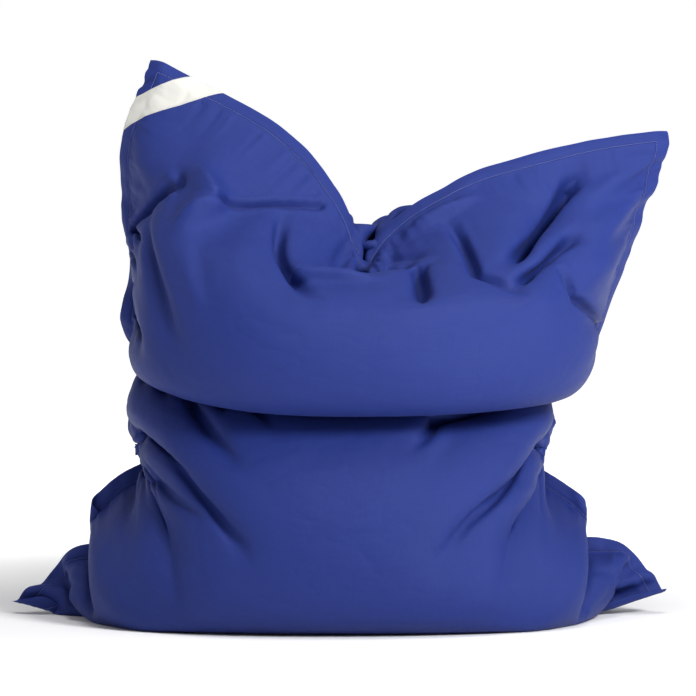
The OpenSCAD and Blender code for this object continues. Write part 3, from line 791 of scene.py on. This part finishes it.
class Value:
    """A number that varies over a surface, which ordinary arithmetic works on."""

    def __init__(self, book: "Finishing", socket: bpy.types.NodeSocket) -> None:
        """Wraps an output socket."""
        self.book = book
        self.socket = socket

    def __add__(self, other: Number) -> "Value":
        """Adds."""
        return self.book.maths("ADD", self, other)

    def __radd__(self, other: Number) -> "Value":
        """Adds, from the right."""
        return self.book.maths("ADD", other, self)

    def __sub__(self, other: Number) -> "Value":
        """Subtracts."""
        return self.book.maths("SUBTRACT", self, other)

    def __rsub__(self, other: Number) -> "Value":
        """Subtracts from a number."""
        return self.book.maths("SUBTRACT", other, self)

    def __mul__(self, other: Number) -> "Value":
        """Multiplies."""
        return self.book.maths("MULTIPLY", self, other)

    def __rmul__(self, other: Number) -> "Value":
        """Multiplies, from the right."""
        return self.book.maths("MULTIPLY", other, self)

    def size(self) -> "Value":
        """Returns the value without its sign."""
        return self.book.maths("ABSOLUTE", self)

    def sine(self) -> "Value":
        """Returns the sine of the value as an angle."""
        return self.book.maths("SINE", self)

    def eased(self, low: float, high: float) -> "Value":
        """Returns 0 below low, 1 above high and an eased value between."""
        node = self.book.node("ShaderNodeMapRange", {"interpolation_type": "SMOOTHSTEP"},
                              {"Value": self, "From Min": low, "From Max": high})
        return Value(self.book, node.outputs[0])


class Finishing:
    """A material being made: it adds nodes and joins them to the surface shader."""

    def __init__(self, name: str) -> None:
        """Starts an empty material with a surface shader."""
        self.material = bpy.data.materials.new(name)
        self.material.use_nodes = True
        self.nodes = self.material.node_tree.nodes
        self.links = self.material.node_tree.links
        self.nodes.clear()
        self.surface = self.nodes.new("ShaderNodeBsdfPrincipled")
        self.node("ShaderNodeOutputMaterial", {}, {"Surface": self.surface.outputs[0]})

    def node(self, kind: str, settings: Mapping[str, Any],
             inputs: Mapping[str | int, Any]) -> bpy.types.Node:
        """Adds a node.

        Args:
            kind: The node's type.
            settings: Its properties, set first.
            inputs: Values or links for its sockets, by name or number.

        Returns:
            The new node.
        """
        node = self.nodes.new(kind)
        for key, value in settings.items():
            setattr(node, key, value)
        self.feed(node, inputs)
        return node

    def feed(self, node: bpy.types.Node, inputs: Mapping[str | int, Any]) -> None:
        """Sets or links a node's inputs."""
        for key, value in inputs.items():
            if isinstance(value, Value):
                self.links.new(value.socket, node.inputs[key])
            elif isinstance(value, bpy.types.NodeSocket):
                self.links.new(value, node.inputs[key])
            else:
                node.inputs[key].default_value = value

    def maths(self, operation: str, *terms: Number) -> Value:
        """Adds a Math node."""
        node = self.node("ShaderNodeMath", {"operation": operation}, dict(enumerate(terms)))
        return Value(self, node.outputs[0])

    def mix(self, share: Number, first: Any, second: Any) -> bpy.types.NodeSocket:
        """Mixes two colours and returns the mixed colour's socket."""
        node = self.node("ShaderNodeMix", {"data_type": "RGBA"}, {0: share, 6: first, 7: second})
        return node.outputs[2]

    def scaled(self, vector: bpy.types.NodeSocket, by: Sequence[float]) -> bpy.types.NodeSocket:
        """Multiplies a vector by another."""
        node = self.node("ShaderNodeVectorMath", {"operation": "MULTIPLY"}, {0: vector, 1: tuple(by)})
        return node.outputs[0]

    def noise(self, vector: bpy.types.NodeSocket, scale: float, detail: float = 2.0) -> Value:
        """Adds a noise texture, from 0 to 1 about a half."""
        node = self.node("ShaderNodeTexNoise", {}, {"Vector": vector, "Scale": scale, "Detail": detail})
        return Value(self, node.outputs[0])

    def cloth_place(self) -> bpy.types.NodeSocket:
        """Returns the place on the flat cloth, in metres."""
        return self.node("ShaderNodeAttribute", {"attribute_name": "flat"}, {}).outputs["Vector"]

    def place(self) -> bpy.types.NodeSocket:
        """Returns the place in the frame, in metres."""
        return self.node("ShaderNodeTexCoord", {}, {}).outputs["Object"]

    def split(self, vector: bpy.types.NodeSocket) -> tuple[Value, Value, Value]:
        """Returns a vector's three parts."""
        node = self.node("ShaderNodeSeparateXYZ", {}, {0: vector})
        return Value(self, node.outputs[0]), Value(self, node.outputs[1]), Value(self, node.outputs[2])

    def bump(self, height: Value, distance: float, strength: float = 1.0,
             under: Any = None) -> bpy.types.NodeSocket:
        """Adds a Bump node, on top of another one where under is given."""
        inputs = {"Height": height, "Distance": distance, "Strength": strength}
        if under is not None:
            inputs["Normal"] = under
        return self.node("ShaderNodeBump", {}, inputs).outputs[0]

    def done(self, inputs: Mapping[str, Any]) -> bpy.types.Material:
        """Feeds the surface shader and returns the material."""
        self.feed(self.surface, inputs)
        return self.material


class Grain(Enum):
    """What a weave's threads run along."""

    FLAT_CLOTH = "flat cloth"
    ALONG_X_AND_Z = "along X and Z"


@dataclass(frozen=True)
class Cloth:
    """A plain-woven cloth, coated or not."""

    name: str
    colour: str
    shade: str
    light: str
    roughness: float = 0.5
    pitch: float = 0.0007
    relief: float = 0.00012
    crumple: float = 0.0
    sheen: float = 0.25
    shine: float = 0.3
    grain: Grain = Grain.FLAT_CLOTH
    seam: tuple[float, float] | None = None
    seam_inset: float = 0.026

    def made(self) -> bpy.types.Material:
        """Makes the material."""
        book = Finishing(self.name)
        if self.grain is Grain.FLAT_CLOTH:
            where = book.cloth_place()
            warp, weft, _ = book.split(where)
        else:
            where = book.place()
            warp, _, weft = book.split(where)
        turn = 2.0 * math.pi / self.pitch
        weave = (warp * turn).sine() * (weft * turn).sine()
        cloudy = book.noise(where, 5.0, 3.0)
        slubs = book.noise(book.scaled(where, (14.0, 600.0, 600.0)), 1.0) * 0.5 + (
            book.noise(book.scaled(where, (600.0, 14.0, 14.0)), 1.0) * 0.5)
        deep = (0.62 - 0.9 * (cloudy - 0.5)).eased(0.0, 1.4)
        colour = book.mix(deep * 0.22, tint(self.colour), tint(self.shade))
        colour = book.mix(slubs.eased(0.42, 0.62) * 0.16, colour, tint(self.light))
        rough = self.roughness + 0.10 * (cloudy - 0.5) + 0.06 * (slubs - 0.5)
        fine = book.noise(where, 75.0, 3.0)
        normal = book.bump(fine, 0.0009, 0.35)
        if self.crumple:
            broad = (book.noise(book.scaled(where, (1.0, 1.35, 1.0)), 8.0, 2.0) - 0.5).size()
            broad = broad + 0.4 * (book.noise(where, 21.0, 2.0) - 0.5).size()
            normal = book.bump(broad, self.crumple, 0.6, normal)
        if self.seam is not None:
            half_width, height = self.seam
            from_side = half_width - warp.size()
            from_end = 0.5 * height - (weft - 0.5 * height).size()
            from_edge = book.maths("MINIMUM", from_side, from_end)
            near = (from_edge - self.seam_inset).size()
            # painted shade in the groove along the stitch line, together with the darker needle holes
            line = 1.0 - near.eased(0.0004, 0.0026)
            colour = book.mix(line * 0.35, colour, tint(self.shade))
            normal = book.bump(1.0 - line, 0.0012, 0.9, normal)
            worn = 1.0 - from_edge.eased(0.0005, 0.004)
            colour = book.mix(worn * book.noise(where, 140.0) * 0.45, colour, tint(self.light))
            rough = rough + 0.08 * worn
        normal = book.bump(weave, self.relief, 0.6, normal)
        return book.done({
            "Base Color": colour, "Roughness": rough, "Normal": normal, "Sheen Weight": self.sheen,
            "Sheen Roughness": 0.4, "Specular IOR Level": self.shine,
        })


@dataclass(frozen=True)
class Thread:
    """Sewing thread of two twisted strands."""

    name: str
    colour: str
    shade: str
    twist: float = 0.0009

    def made(self) -> bpy.types.Material:
        """Makes the material."""
        book = Finishing(self.name)
        x, y, z = book.split(book.place())
        strands = ((x + y * 0.7 + z) * (2.0 * math.pi / self.twist)).sine()
        fuzz = book.noise(book.place(), 900.0)
        colour = book.mix(strands.eased(-0.6, 0.6) * 0.6 + fuzz * 0.3, tint(self.shade), tint(self.colour))
        return book.done({
            "Base Color": colour, "Roughness": 0.42 + 0.2 * fuzz, "Normal": book.bump(strands, 0.00012, 0.8),
            "Sheen Weight": 0.2,
        })


@dataclass(frozen=True)
class Nylon:
    """Moulded or drawn nylon, as in a zip's coil."""

    name: str
    colour: str
    light: str

    def made(self) -> bpy.types.Material:
        """Makes the material."""
        book = Finishing(self.name)
        where = book.place()
        cloudy = book.noise(where, 160.0, 3.0)
        colour = book.mix(cloudy.eased(0.35, 0.75) * 0.5, tint(self.colour), tint(self.light))
        return book.done({
            "Base Color": colour, "Roughness": 0.30 + 0.18 * cloudy,
            "Normal": book.bump(book.noise(where, 1800.0), 0.00004, 0.5),
        })


@dataclass(frozen=True)
class Metal:
    """Plated cast metal, tumbled smooth, with light scratches."""

    name: str
    colour: str
    dull: str

    def made(self) -> bpy.types.Material:
        """Makes the material."""
        book = Finishing(self.name)
        where = book.place()
        cloudy = book.noise(where, 260.0, 4.0)
        scratch = book.noise(book.scaled(where, (300.0, 4000.0, 5200.0)), 1.0, 3.0)
        marks = scratch.eased(0.56, 0.70)
        colour = book.mix(cloudy.eased(0.3, 0.8) * 0.5 + marks * 0.3, tint(self.colour), tint(self.dull))
        return book.done({
            "Base Color": colour, "Metallic": 1.0, "Roughness": 0.24 + 0.22 * cloudy + 0.15 * marks,
            "Normal": book.bump(1.0 - marks, 0.00003, 0.6),
        })


@dataclass(frozen=True)
class FoamBeads:
    """Loose expanded foam beads packed together, with painted shade in the gaps between them."""

    name: str
    bead: float = 0.0042

    def made(self) -> bpy.types.Material:
        """Makes the material."""
        book = Finishing(self.name)
        cells = book.node("ShaderNodeTexVoronoi", {}, {"Vector": book.place(), "Scale": 1.0 / self.bead})
        between = Value(book, cells.outputs["Distance"])
        # painted shade: the gaps between the white beads are coloured grey where shade falls
        gap = between.eased(0.35, 0.62)
        colour = book.mix(gap * 0.7, tint("F7F7F3"), tint("B9BBB8"))
        return book.done({
            "Base Color": colour, "Roughness": 0.55 + 0.2 * gap,
            "Normal": book.bump(1.0 - between, 0.6 * self.bead, 1.0),
        })


@dataclass(frozen=True)
class Painted:
    """A matt painted studio floor, lit a little from within like a light table."""

    name: str
    colour: str
    light: str
    glow: float = 0.78

    def made(self) -> bpy.types.Material:
        """Makes the material."""
        book = Finishing(self.name)
        cloudy = book.noise(book.place(), 0.8, 3.0)
        colour = book.mix(cloudy.eased(0.3, 0.7), tint(self.colour), tint(self.light))
        x, y, _ = book.split(book.place())
        far = book.maths("SQRT", x * x + y * y).eased(0.6, 1.8)
        return book.done({"Base Color": colour, "Roughness": 0.75 + 0.1 * cloudy, "Specular IOR Level": 0.1,
                          "Emission Color": book.mix(far, (0.0, 0.0, 0.0, 1.0), tint(self.light)),
                          "Emission Strength": self.glow})


@dataclass(frozen=True)
class Finishes:
    """Every finish of the bean bag."""

    cover: bpy.types.Material
    band: bpy.types.Material
    label: bpy.types.Material
    tape: bpy.types.Material
    tab_cloth: bpy.types.Material
    thread: bpy.types.Material
    pale_thread: bpy.types.Material
    coil: bpy.types.Material
    metal: bpy.types.Material
    beads: bpy.types.Material

    @classmethod
    def of(cls, cloth: CoverCloth) -> "Finishes":
        """Makes the finishes for a cover of that size."""
        return cls(
            cover=Cloth("royal_blue_cloth", "1F2F74", "172256", "2C3C8A", 0.50, sheen=0.02, shine=0.16,
                        crumple=0.010, seam=(cloth.width / 2.0, cloth.height)).made(),
            band=Cloth("off_white_cloth", "CFCEC8", "B2B1AB", "DEDDD8", 0.60, sheen=0.15,
                       crumple=0.004).made(),
            label=Cloth("satin_ribbon", "E9E8E3", "C9C8C2", "F6F6F2", 0.38, pitch=0.0005,
                        relief=0.00006).made(),
            tape=Cloth("zip_tape_cloth", "1A2150", "10142F", "333C78", 0.6, pitch=0.0011, relief=0.0002,
                       grain=Grain.ALONG_X_AND_Z).made(),
            tab_cloth=Cloth("royal_blue_tab_cloth", "1F2F74", "172256", "2C3C8A", 0.50, sheen=0.02,
                            shine=0.16, grain=Grain.ALONG_X_AND_Z).made(),
            thread=Thread("blue_thread", "8C98DC", "4C58AC").made(),
            pale_thread=Thread("white_thread", "E6E5E0", "B4B3AD").made(),
            coil=Nylon("navy_nylon", "161C48", "2E376C").made(),
            metal=Metal("nickel_plate", "C9CACC", "8E8F92").made(),
            beads=FoamBeads("foam_beads").made(),
        )


# ---- the bag's sub-assemblies ----


def smallest_near(share: np.ndarray) -> np.ndarray:
    """Evens out shares over neighbouring points without raising any of them by much."""
    padded = np.pad(share, ((0, 0), (1, 1), (1, 1)), mode="edge")
    around = [padded[:, 1 + i:padded.shape[1] - 1 + i, 1 + j:padded.shape[2] - 1 + j]
              for i in (-1, 0, 1) for j in (-1, 0, 1)]
    return 0.5 * np.minimum.reduce(around) + 0.5 * np.minimum(share, sum(around) / 9.0)


def dressed(piece: Piece, material: bpy.types.Material) -> Piece:
    """Gives a piece its material."""
    piece.data.materials.clear()
    piece.data.materials.append(material)
    return piece


@dataclass
class Waist:
    """Where the bag bends when it reclines, between the seat below and the backrest above; the pieces handed
    to it are not bent.
    """

    low: tuple[float, float, float] = (0.0, 0.11, 0.34)
    high: tuple[float, float, float] = (0.0, 0.11, 0.56)

    def bend(self, piece: Piece) -> Piece:
        """Bakes a piece's placement into its points; the piece is not bent."""
        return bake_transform(piece)


@dataclass
class Cover:
    """The sewn cover: the front panel, and the back panel and its hem panel with the zip's slot between."""

    fine: FineCloth
    finishes: Finishes
    waist: Waist
    slot_half: float = 0.008
    slot_end: float = 0.280
    eased_over: float = 0.032
    turn_in: float = 0.004
    thickness: float = 0.0008

    def build(self) -> list[Piece]:
        """Builds and dresses the three panels."""
        cloth = self.fine.cloth
        zip_row = round(cloth.zip_up / self.fine.cell)
        panels = [
            (self.front(), "front_panel", cloth.height),
            (self.back(zip_row, above=True), "back_panel", cloth.height - cloth.zip_up),
            (self.back(zip_row, above=False), "back_hem_panel", cloth.zip_up),
        ]
        for piece, node, length in panels:
            dressed(piece, self.finishes.cover)
            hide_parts(node)
            self.waist.bend(piece)
            log.info("%s: %d faces", piece.name, len(piece.data.polygons))
        return [piece for piece, _, _ in panels]

    def front(self) -> Piece:
        """Builds the front panel."""
        points = self.fine.points[Side.FRONT.value]
        return piece_from("front_cover", points.reshape(-1, 3), grid_faces(*points.shape[:2]),
                          self.fine.flat(Side.FRONT).reshape(-1, 3))

    def back(self, zip_row: int, above: bool) -> Piece:
        """Builds the back panel above the zip or the hem panel below it.

        Args:
            zip_row: The grid's row along the middle of the zip.
            above: Whether to build the panel above the zip.

        Returns:
            The panel, with its edge turned in along the slot.
        """
        rows = slice(zip_row, None) if above else slice(0, zip_row + 1)
        points = self.fine.points[Side.BACK.value][rows].copy()
        flat = self.fine.flat(Side.BACK)[rows].copy()
        direction = 1.0 if above else -1.0
        opened = 1.0 - smooth_step(np.abs(self.fine.across), self.slot_end - 0.001, self.slot_end + 0.006)
        away = np.abs(flat[..., 1] - flat[0 if above else -1, 0, 1])
        spread = self.slot_half * opened[None, :] * np.clip(1.0 - away / self.eased_over, 0.0, 1.0)
        points[..., 2] += direction * spread
        edge = 0 if above else -1
        turned = points[edge].copy()
        turned[:, 1] -= self.thickness * opened
        turned[:, 2] += direction * self.turn_in * opened
        rolled = blend(points[edge], turned, 0.5)
        rolled[:, 2] -= direction * 0.4 * self.turn_in * opened
        extra = [turned, rolled] if above else [rolled, turned]
        flats = [flat[edge], flat[edge]]
        points = np.concatenate([np.stack(extra), points] if above else [points, np.stack(extra)])
        flat = np.concatenate([np.stack(flats), flat] if above else [flat, np.stack(flats)])
        faces = grid_faces(*points.shape[:2])[:, ::-1]
        name = "back_cover" if above else "back_hem_cover"
        return piece_from(name, points.reshape(-1, 3), faces, flat.reshape(-1, 3))


@dataclass
class Topstitching:
    """The seam sewn round the cover a little inside its edge, and the rows beside the zip."""

    fine: FineCloth
    finishes: Finishes
    waist: Waist
    inset: float = 0.026
    zip_row: float = 0.0125
    zip_half: float = 0.292

    def build(self) -> list[Piece]:
        """Sews the flange's seam and the zip's rows."""
        stitching = Stitching()
        flange = stitching.sew("flange_topstitching", [self.ring(Side.FRONT), self.ring(Side.BACK)])
        dressed(flange, self.finishes.thread)
        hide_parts("flange_topstitch")
        self.waist.bend(flange)
        beside_zip = stitching.sew("zip_topstitching", [self.row(-1.0), self.row(1.0)])
        dressed(beside_zip, self.finishes.thread)
        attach(beside_zip, Body.SEAT.value)
        log.info("topstitching: %d faces", len(flange.data.polygons) + len(beside_zip.data.polygons))
        return [flange, beside_zip]

    def ring(self, side: Side) -> tuple[np.ndarray, np.ndarray]:
        """Finds the line round one sheet that the seam follows."""
        half = self.fine.cloth.width / 2.0 - self.inset
        low, high = self.inset, self.fine.cloth.height - self.inset
        corners = [(-half, low), (half, low), (half, high), (-half, high), (-half, low)]
        across, up = [], []
        for (a, b), (c, d) in zip(corners, corners[1:]):
            share = np.linspace(0.0, 1.0, 400, endpoint=False)
            across.append(blend(a, c, share))
            up.append(blend(b, d, share))
        points, normals = self.fine.at(side, np.concatenate(across), np.concatenate(up))
        return points + normals * 0.0002, normals

    def row(self, direction: float) -> tuple[np.ndarray, np.ndarray]:
        """Finds a straight row of stitches above or below the zip."""
        cloth = self.fine.cloth
        x = np.linspace(-self.zip_half, self.zip_half, 240)
        points = np.stack([x, np.full(x.shape, cloth.zip_face + 0.0003),
                           np.full(x.shape, cloth.zip_height + direction * self.zip_row)], axis=-1)
        return points, np.broadcast_to([0.0, 1.0, 0.0], points.shape).copy()


@dataclass
class CornerBand:
    """The plain off-white band sewn across the taller ear's corner, from edge to edge."""

    fine: FineCloth
    finishes: Finishes
    near: float = 0.0865
    far: float = 0.1575
    stand_off: float = 0.0011
    along: int = 60
    wide: int = 24
    stitch_in: float = 0.0035
    rolled: float = 0.6

    def build(self) -> list[Piece]:
        """Builds the band and its two rows of stitches."""
        reach = np.linspace(self.near, self.far, self.wide)
        share = np.linspace(0.0, 1.0, self.along)
        points, flat = self.laid(share, reach, self.stand_off)
        for edge in (0, -1):  # the long edges roll down to the cover
            points[edge] -= self.rolled * self.stand_off * self.facing(share, reach)[edge]
        band = piece_from("corner_band_cloth", points.reshape(-1, 3), grid_faces(*points.shape[:2])[:, ::-1],
                          flat.reshape(-1, 3))
        dressed(band, self.finishes.band)
        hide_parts("corner_band")
        wide = (self.far - self.near) / math.sqrt(2.0)
        long = (self.far + self.near) / math.sqrt(2.0)
        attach(band, Body.BACKREST.value)
        runs = []
        for reach_in in (self.near + self.stitch_in, self.far - self.stitch_in):
            line, _ = self.laid(np.linspace(0.01, 0.99, 200), np.array([reach_in]), self.stand_off + 0.0002)
            facing = self.facing(np.linspace(0.01, 0.99, 200), np.array([reach_in]))
            runs.append((line[0], facing[0]))
        stitches = Stitching(length=0.0034).sew("corner_band_stitching", runs)
        dressed(stitches, self.finishes.pale_thread)
        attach(stitches, Body.BACKREST.value)
        log.info("corner band: %d faces", len(band.data.polygons))
        return [band, stitches]

    def places(self, share: np.ndarray, reach: np.ndarray) -> tuple[np.ndarray, np.ndarray]:
        """Returns places on the flat cloth: share runs from the top edge to the side edge."""
        cloth = self.fine.cloth
        across = -cloth.width / 2.0 + reach[:, None] * (1.0 - share[None, :])
        up = cloth.height - reach[:, None] * share[None, :]
        return across, up

    def facing(self, share: np.ndarray, reach: np.ndarray) -> Grid:
        """Returns the cover's normals under the band."""
        return self.fine.at(Side.FRONT, *self.places(share, reach))[1]

    def laid(self, share: np.ndarray, reach: np.ndarray, stand_off: float) -> tuple[Grid, Grid]:
        """Lays a grid of the band on the cover."""
        across, up = self.places(share, reach)
        points, normals = self.fine.at(Side.FRONT, across, up)
        return points + normals * stand_off, np.stack([across, up, np.zeros(up.shape)], axis=-1)


@dataclass
class CareLabel:
    """A plain satin ribbon label sewn in at its top edge under the zip, curling away from the cover."""

    fine: FineCloth
    finishes: Finishes
    stand_off: float = 0.0012
    curl: float = 0.0055
    rows: int = 24
    columns: int = 18

    def build(self) -> list[Piece]:
        """Builds the label and the stitches that hold it."""
        low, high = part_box("care_label")
        width, height = high.x - low.x, high.z - low.z
        cloth = self.fine.cloth
        a = np.linspace(low.x, high.x, self.columns)[None, :] + np.zeros((self.rows, 1))
        hang = np.linspace(0.0, 1.0, self.rows)[:, None] + np.zeros((1, self.columns))
        up = cloth.zip_up + (high.z - hang * height) - cloth.zip_height
        points, normals = self.fine.at(Side.BACK, a, up)
        side = (a - low.x) / width - 0.5
        lift = self.stand_off + self.curl * hang**2 * (0.7 + 0.6 * side) + 0.001 * np.cos(3.0 * side) * hang
        points = points + normals * lift[..., None]
        flat = np.stack([a, up, np.ones(a.shape)], axis=-1)
        label = piece_from("care_ribbon", points.reshape(-1, 3), grid_faces(self.rows, self.columns),
                           flat.reshape(-1, 3))
        dressed(label, self.finishes.label)
        thick = label.modifiers.new("thickness", "SOLIDIFY")
        thick.thickness = 0.0003
        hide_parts("care_label")
        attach(label, Body.SEAT.value)
        row = 2
        line = points[row] + normals[row] * 0.0003
        stitches = Stitching(length=0.003).sew("care_ribbon_stitching", [(line, normals[row])])
        dressed(stitches, self.finishes.pale_thread)
        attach(stitches, Body.SEAT.value)
        log.info("care label: %d faces", len(label.data.polygons))
        return [label, stitches]


@dataclass
class Zip:
    """The coil zip: woven tapes, two nylon coils, metal stops, slider and pull tab, and cloth end tabs."""

    frame: Mapping[str, Any]
    finishes: Finishes
    pitch: float = 0.0016
    wire: float = 0.00042
    steps: int = 10

    def build(self) -> list[Piece]:
        """Builds the coils and dresses the rest of the zip."""
        coils = [self.coil("zip_coil_upper", 0.0), self.coil("zip_coil_lower", 0.5)]
        for names, material, slot in (
            (("zip_tape_upper", "zip_tape_lower"), self.finishes.tape, "zip_tape"),
            (("zip_end_tabs",), self.finishes.tab_cloth, "cover_fabric"),
            (("zip_stops", "zip_slider", "zip_pull_tab"), self.finishes.metal, "zip_metal"),
        ):
            for name in names:
                dressed(self.frame["nodes"][name], material)
        log.info("zip coils: %d faces", sum(len(piece.data.polygons) for piece in coils))
        return coils

    def coil(self, node: str, phase: float) -> Piece:
        """Winds one coil within the frame's plain one.

        Args:
            node: The frame's node that the coil stands for.
            phase: How far along its turn the coil starts, so that the two coils mesh.

        Returns:
            The wound coil.
        """
        low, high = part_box(node)
        middle = (low + high) / 2.0
        half = (high - low) / 2.0 - Vector((0.0, self.wire, self.wire))
        turns = int((high.x - low.x - 2.0 * self.wire) / self.pitch)
        t = np.arange(turns * self.steps + 1) / self.steps + phase
        x = low.x + self.wire + (np.arange(turns * self.steps + 1) / self.steps) * self.pitch
        angle = 2.0 * math.pi * t
        line = np.stack([x, middle.y + half.y * np.sin(angle), middle.z + half.z * np.cos(angle)], axis=-1)
        outward = np.stack([np.zeros(len(t)), np.sin(angle), np.cos(angle)], axis=-1)
        coil = tubes(node + "_turns", line[None], outward[None], np.full(len(t), self.wire), sides=5)
        dressed(coil, self.finishes.coil)
        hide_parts(node)
        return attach(coil, Body.SEAT.value)


@dataclass
class BeadFill:
    """The foam beads inside, as a lower and an upper mass that meet at the waist crease."""

    fine: FineCloth
    finishes: Finishes
    waist: Waist
    inset: float = 0.012
    fullness: float = 0.80
    rim: float = 0.11
    side_rim: float = 0.17
    top: float = 1.22
    sag: float = 0.16
    hollow: float = 0.25
    slim: tuple[float, float, float] = (0.88, 0.93, 1.0)
    cap_rows: int = 12
    parting: float = 0.004

    def build(self) -> list[Piece]:
        """Builds both masses."""
        side, low, top = (round(reach / 0.01) for reach in (self.side_rim, self.rim, self.top))
        inner = self.within(self.fine.coarse[:, low:top, side:-side])
        share = self.fine.cloth.shape.crease_up / self.fine.cloth.height
        cut = round(share * (self.fine.coarse.shape[1] - 1)) - low
        masses = []
        for name, node, part, edge, drop in (
            ("seat_beads", "seat_bead_fill", inner[:, :cut + 1], -1, -self.parting),
            ("backrest_beads", "backrest_bead_fill", inner[:, cut + 1:], 0, self.parting),
        ):
            mass = self.closed(name, part, edge, drop)
            dressed(mass, self.finishes.beads)
            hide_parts(node)
            self.waist.bend(mass)
            log.info("%s: %d faces", name, len(mass.data.polygons))
            masses.append(mass)
        return masses

    def within(self, grid: Grid) -> Grid:
        """Draws the two sheets' points together until they lie inside the cover.

        Args:
            grid: Points of the front and the back sheet.

        Returns:
            The points, drawn in.
        """
        cover = [side.reshape(-1, 3) for side in self.fine.points]
        count = len(cover[0])
        faces = grid_faces(*self.fine.points.shape[1:3])
        skin = BVHTree.FromPolygons(np.concatenate(cover).tolist(),
                                    np.concatenate([faces, faces[:, ::-1] + count]).tolist())
        rows, columns = grid.shape[1:3]
        even = np.einsum("rs,psck,dc->prdk", smoothing(rows, 3.5), grid, smoothing(columns, 3.5),
                         optimize=True)
        middle = even.mean(axis=0)
        share = np.full(grid.shape[:3], self.fullness)
        for _ in range(6):
            points = middle + (even - middle) * share[..., None]
            for index in np.ndindex(share.shape):
                near, normal, _, _ = skin.find_nearest(points[index].tolist())
                if (Vector(points[index]) - near).dot(normal) > -self.inset:
                    share[index] = max(0.03, share[index] - 0.13)
            share = smallest_near(share)
        points = middle + (even - middle) * share[..., None]
        points *= self.slim
        points[..., 2] = np.maximum(points[..., 2], 0.012)
        return points

    def closed(self, name: str, part: Grid, edge: int, drop: float) -> Piece:
        """Closes two facing grids into one mass: their shared rims, and a crowned cap at the crease.

        Args:
            name: The piece's name.
            part: The front and the back grid.
            edge: The row of the grids, first or last, where the cap goes.
            drop: How far the cap's middle stands off the crease, upwards.

        Returns:
            The closed mass.
        """
        front, back = part
        rows, columns = front.shape[:2]
        share = np.linspace(0.0, 1.0, self.cap_rows)[:, None, None]
        cap = blend(front[edge][None], back[edge][None], share)
        cap[..., 2] += drop * np.sin(math.pi * share[..., 0])
        other = 0 if edge == -1 else -1
        floor = blend(front[other][None], back[other][None], share)
        if other == -1:
            floor[..., 2] -= self.sag * np.sin(math.pi * share[..., 0])
        left = blend(front[:, 0][None], back[:, 0][None], share)
        right = blend(front[:, -1][None], back[:, -1][None], share)
        for end in (left, right):
            end[..., 0] *= 1.0 - self.hollow * np.sin(math.pi * share[..., 0])
        grids = [front, back, cap, floor, left, right]
        points, faces, start = [], [], 0
        for grid in grids:
            points.append(grid.reshape(-1, 3))
            faces.append(grid_faces(grid.shape[0], grid.shape[1], start))
            start += grid.shape[0] * grid.shape[1]
        piece = piece_from(name, np.concatenate(points), np.concatenate(faces))
        self.joined(piece)
        return piece

    @staticmethod
    def joined(piece: Piece) -> None:
        """Joins the points that the grids share, and turns every face outwards."""
        mesh = bmesh.new()
        mesh.from_mesh(piece.data)
        bmesh.ops.remove_doubles(mesh, verts=mesh.verts, dist=1e-5)
        bmesh.ops.recalc_face_normals(mesh, faces=mesh.faces)
        mesh.to_mesh(piece.data)
        mesh.free()


# ---- the studio ----


@dataclass(frozen=True)
class SoftBox:
    """A square studio light: where it stands, what it aims at, its power and its size."""

    place: tuple[float, float, float]
    power: float
    size: float
    aim: tuple[float, float, float] = (0.0, 0.0, 0.5)

    def put_up(self, name: str) -> Piece:
        """Puts the light up."""
        data = bpy.data.lights.new(name, "AREA")
        data.energy = self.power
        data.size = self.size
        light = bpy.data.objects.new(name, data)
        light.location = self.place
        light.rotation_euler = (Vector(self.aim) - Vector(self.place)).to_track_quat("-Z", "Y").to_euler()
        light.visible_camera = False
        bpy.context.scene.collection.objects.link(light)
        return light


@dataclass
class Studio:
    """A pale floor, soft light from both sides and above, and a long lens a little above the seat."""

    distance: float = 10.0
    tilt_deg: float = 4.0
    lens: float = 268.4
    aim_x: float = 0.0165
    aim_z: float = 0.518
    floor_half: float = 600.0
    ambient: float = 0.28
    sees_to: float = 2000.0
    lights: tuple[SoftBox, ...] = (
        SoftBox((2.6, -2.8, 2.6), 190.0, 1.3),
        SoftBox((-3.0, 0.9, 1.4), 8.0, 1.6),
        SoftBox((0.3, -0.8, 4.4), 80.0, 1.6),
    )

    def build(self) -> None:
        """Sets up the floor, the lights, the world and the camera."""
        scene = bpy.context.scene
        half = self.floor_half
        corners = np.array([(-half, -half, 0), (half, -half, 0), (half, half, 0), (-half, half, 0)])
        floor = piece_from("floor", corners, np.array([[0, 1, 2, 3]]))
        floor.data.materials.append(Painted("floor_paint", "F4F4F4", "FAFAFA").made())
        for number, light in enumerate(self.lights):
            light.put_up(f"soft_box_{number + 1}")
        world = bpy.data.worlds.new("studio")
        world.use_nodes = True
        background = world.node_tree.nodes["Background"]
        background.inputs["Color"].default_value = (1.0, 1.0, 1.0, 1.0)
        background.inputs["Strength"].default_value = self.ambient
        scene.world = world
        scene.view_settings.view_transform = "Standard"
        data = bpy.data.cameras.new("camera")
        data.lens = self.lens
        data.clip_end = self.sees_to
        camera = bpy.data.objects.new("camera", data)
        tilt = math.radians(self.tilt_deg)
        rise = self.distance * math.sin(tilt)
        camera.location = (self.aim_x, -self.distance * math.cos(tilt), self.aim_z + rise)
        camera.rotation_euler = (math.pi / 2.0 - tilt, 0.0, 0.0)
        scene.collection.objects.link(camera)
        scene.camera = camera


def main() -> None:
    """Builds the bean bag's pieces round the frame, in order."""
    logging.basicConfig(level=logging.INFO, format="%(name)s: %(message)s")
    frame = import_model()
    fine = FineCloth(CoverCloth(BagShape()))
    finishes = Finishes.of(fine.cloth)
    waist = Waist()
    pieces: list[Piece] = []
    for sub_assembly in (
        Cover(fine, finishes, waist),
        Topstitching(fine, finishes, waist),
        CornerBand(fine, finishes),
        CareLabel(fine, finishes),
        Zip(frame, finishes),
        BeadFill(fine, finishes, waist),
    ):
        pieces += sub_assembly.build()
    Studio().build()
    log.info("%d pieces made", len(pieces))


if __name__ == "__main__":
    main()
